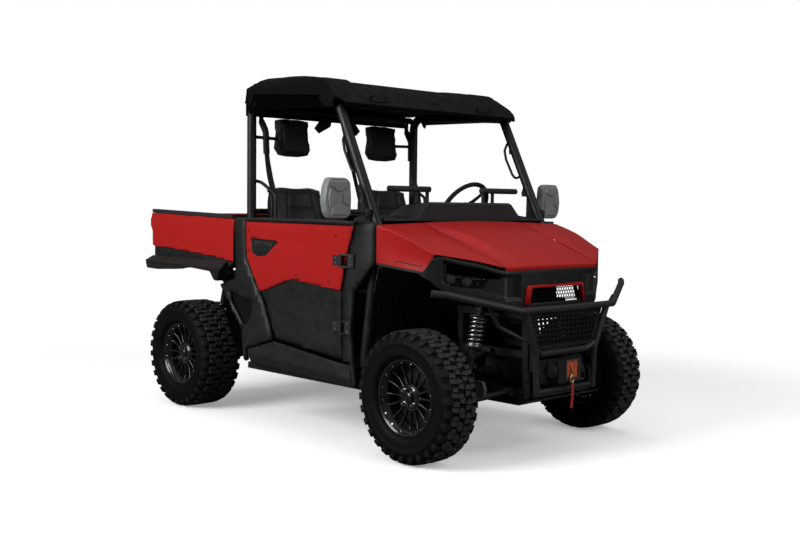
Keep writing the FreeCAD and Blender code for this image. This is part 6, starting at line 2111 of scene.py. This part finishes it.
def spring(bm, low, high, radius, wire, coils):
    low, high = Vector(low), Vector(high)
    axis = (high - low).normalized()
    across = axis.orthogonal().normalized()
    other = axis.cross(across)
    steps = coils * 22
    line = []
    for n in range(steps + 1):
        turn = n / 22
        travel = n / steps
        flat = 0.5 * wire
        if turn < 1:
            height = flat + wire * 0.9 * turn
        elif turn > coils - 1:
            height = (high - low).length - flat - wire * 0.9 * (coils - turn)
        else:
            height = mix(flat + wire * 0.9, (high - low).length - flat - wire * 0.9,
                (turn - 1) / (coils - 2))
        angle = turn * math.tau
        line.append(low + axis * height + across * (radius * math.cos(angle)) + other
            * (radius * math.sin(angle)))
    sweep(bm, line, disc(wire, 10), upright=tuple(axis))


def turned(bm, start, axis, profile, sides=24):
    across = axis.orthogonal().normalized()
    other = axis.cross(across)
    loft(bm, [[start + axis * travel + across * (radius * math.cos(a)) + other * (radius * math.sin(a))
        for a in turns(sides)] for travel, radius in profile])


def makeShocks():
    for name, x, topY, topZ, coils, first, share in (("front", 1.11, 0.326, 0.742, 8, 0.04, 0.37),
            ("rear", -1.11, 0.345, 0.77, 9, 0.16, 0.72)):
        for side in (-1, 1):
            top = Vector((x, side * topY, topZ))
            eye = Vector((x, side * 0.428, 0.33))
            axis = (eye - top).normalized()
            length = (eye - top).length
            end = 0.036 + share * length
            bm = bmesh.new()
            spring(bm, top + axis * first, top + axis * (end - 0.004), 0.0365, 0.0056, coils)
            makePiece("spring_%s_%s" % (name, sideName(side)), bm, "springSteel", angle=70)
            bm = bmesh.new()
            turned(bm, top, axis, [(0.012, 0.001), (0.012, 0.014), (first - 0.012, 0.016),
                (first - 0.009, 0.044), (first - 0.0005, 0.0455), (first - 0.0005, 0.02),
                (first + 0.02, 0.0185), (end * 0.9, 0.0185), (end - 0.004, 0.0205), (end - 0.004, 0.0455),
                (end + 0.004, 0.0455), (end + 0.007, 0.024), (end + 0.02, 0.0215), (end + 0.055, 0.021),
                (end + 0.058, 0.0148), (length - 0.012, 0.0148), (length - 0.01, 0.001)])
            for place in (top, eye):
                ring = mm(8, -12.5, 16.5, -12.5, 17.8, -10.5, 17.8, 10.5, 16.5, 12.5, 8, 12.5)
                rings = [[(place.x + q, place.y + r * math.cos(a), place.z + r * math.sin(a))
                    for a in turns(22)] for r, q in ring]
                rings.append(rings[0])
                loft(bm, rings, caps=False)
            makePiece("damper_%s_%s" % (name, sideName(side)), bm, "casePlastic",
                ["shocks"] if side == 1 and name == "rear" else (), angle=40)


# Bolts and small fittings on the running gear that the solids leave plain.
def makeFittings():
    bm = bmesh.new()
    for side in (-1, 1):
        for x in (1.11, -1.11):
            for y, z in ((0.428, 0.33), (0.326 if x > 0 else 0.345, 0.742 if x > 0 else 0.77)):
                for way in (1, -1):
                    bolt(bm, (x + way * 0.0128, side * y, z), (way, 0, 0), 0.0085, 0.006)
    makePiece("shock_bolts", bm, "boltSteel")
    bm = bmesh.new()
    for side in (-1, 1):
        polygon(bm, mm(1147, 392, 1175, 400, 1205, 396, 1222, 360, 1215, 325, 1180, 312, 1155, 320), "y",
            *span(side, 0.39, 0.41))
    makePiece("arm_castings", bm, "castGrey", bevel=0.004, segments=3)


# Near-black sheets of painted shade that close the view through the wheel arches and behind the gap below
# each door.
def makeArchShades():
    bm = bmesh.new()
    brick(bm, (0.822, -0.33, 0.36), (0.826, 0.33, 0.6))
    for side in (-1, 1):
        polygon(bm, mm(-768, 720, -580, 737, -578, 383, -620, 380, -728, 567), "y", *span(side, 0.59, 0.6))
        polygon(bm, mm(-350, 390, -350, 448, -100, 524, 530, 436, 530, 385, -100, 475), "y",
            *span(side, 0.668, 0.671))
    makePiece("arch_shades", bm, "deepShade")


makeShocks()
makeFittings()
makeArchShades()

# CAD nodes that stay get the look of their slot.
print("stage: frame nodes")
nodeLooks = {"frame_black": "framePaint", "body_red": "redPaint", "body_black": "blackPlastic",
    "roof_black": "roofPlastic", "cage_black": "cagePaint", "bare_alloy": "alloy",
    "spring_steel": "springSteel", "shaft_steel": "shaftSteel", "tyre_rubber": "tyreRubber",
    "rim_black": "rimPaint", "seat_cover": "seatVinyl", "belt_web": "beltWeb", "lamp_lens": "lampLens",
    "lamp_red": "redLens", "mesh_black": "meshPlastic", "mirror_shell": "mirrorPlastic",
    "battery_case": "casePlastic"}
# Frame nodes under the body take the darker frame paint, as painted shade.
shadedNodes = {name: "shadedFramePaint" for name in ("front_subframe", "front_differential", "drive_shafts",
    "frame_rails", "skid_plate", "wheel_liners", "floor_tub", "rear_subframe", "rear_drive_unit")}
for entry in frame["record"]["subparts"]:
    node = frame["nodes"][entry["node"]]
    material = looks[shadedNodes.get(entry["node"], nodeLooks[entry["material_slot"]])][0]
    if not node.material_slots:
        node.data.materials.append(material)
    for holder in node.material_slots:
        holder.material = material


# Floor, backdrop and light
print("stage: studio")


def makeStudio():
    bm = bmesh.new()
    bmesh.ops.create_circle(bm, cap_ends=True, segments=96, radius=14)
    floor = meshObject("studio_floor", bm)
    material = bpy.data.materials.new("floor")
    material.use_nodes = True
    tree = material.node_tree
    place = emptied(tree, "Object")
    bright = shaderOf(tree, "BsdfDiffuse", (1.55, 1.55, 1.55))
    lift = shaderOf(tree, "Emission", (0.29, 0.29, 0.29))
    lifted = addNode(tree, "AddShader", {}, {0: bright, 1: lift}).outputs[0]
    dull = shaderOf(tree, "BsdfDiffuse", (0.16, 0.16, 0.16))
    white = shaderOf(tree, "Emission", (1, 1, 1))
    x, y = Field(tree, place.outputs["X"]), Field(tree, place.outputs["Y"])
    far = ((x * x + y * y) ** 0.5).between(2.4, 4.2)
    near = addNode(tree, "MixShader", {}, {0: far, 1: lifted, 2: white}).outputs[0]
    closeTree(tree, "OutputMaterial", dull, near)
    floor.data.materials.append(material)

    world = bpy.data.worlds.new("studio")
    scene.world = world
    world.use_nodes = True
    tree = world.node_tree
    rise = Field(tree, emptied(tree, "Generated").outputs["Z"])
    seen = shaderOf(tree, "Background", (1, 1, 1))
    glow = addNode(tree, "Background", {}, {"Strength": rise.between(-0.1, 1.0, 0.03, 0.3)}).outputs[0]
    closeTree(tree, "OutputWorld", glow, seen)

    for name, place, target, size, power in (
        ("top", (0.3, 0.3, 5.0), (0, 0, 0.8), 5.0, 30),
        ("front", (5.5, 0.8, 3.2), (0.6, 0, 0.9), 3.0, 70),
        ("side", (-0.6, -6.0, 3.4), (0, 0, 0.8), 3.6, 242),
        ("rear", (-5.0, 3.2, 3.6), (-0.3, 0, 1.0), 2.4, 12),
    ):
        light = bpy.data.lights.new(name, "AREA")
        light.shape = "SQUARE"
        light.size = size
        light.energy = power
        lamp = bpy.data.objects.new(name, light)
        lamp.location = place
        lamp.rotation_euler = (Vector(target) - Vector(place)).to_track_quat("-Z", "Y").to_euler()
        scene.collection.objects.link(lamp)


# Clears a tree and gives its coordinates, split into axes.
def emptied(tree, coordinates):
    tree.nodes.clear()
    place = addNode(tree, "TexCoord", {}, {}).outputs[coordinates]
    return addNode(tree, "SeparateXYZ", {}, {0: place})


def shaderOf(tree, kind, colour):
    return addNode(tree, kind, {}, {"Color": colour}).outputs[0]


# What the camera sees is apart from what lights the vehicle.
def closeTree(tree, kind, lighting, seen):
    seeing = addNode(tree, "LightPath", {}, {}).outputs["Is Camera Ray"]
    final = addNode(tree, "MixShader", {}, {0: seeing, 1: lighting, 2: seen}).outputs[0]
    addNode(tree, kind, {}, {"Surface": final})


makeStudio()
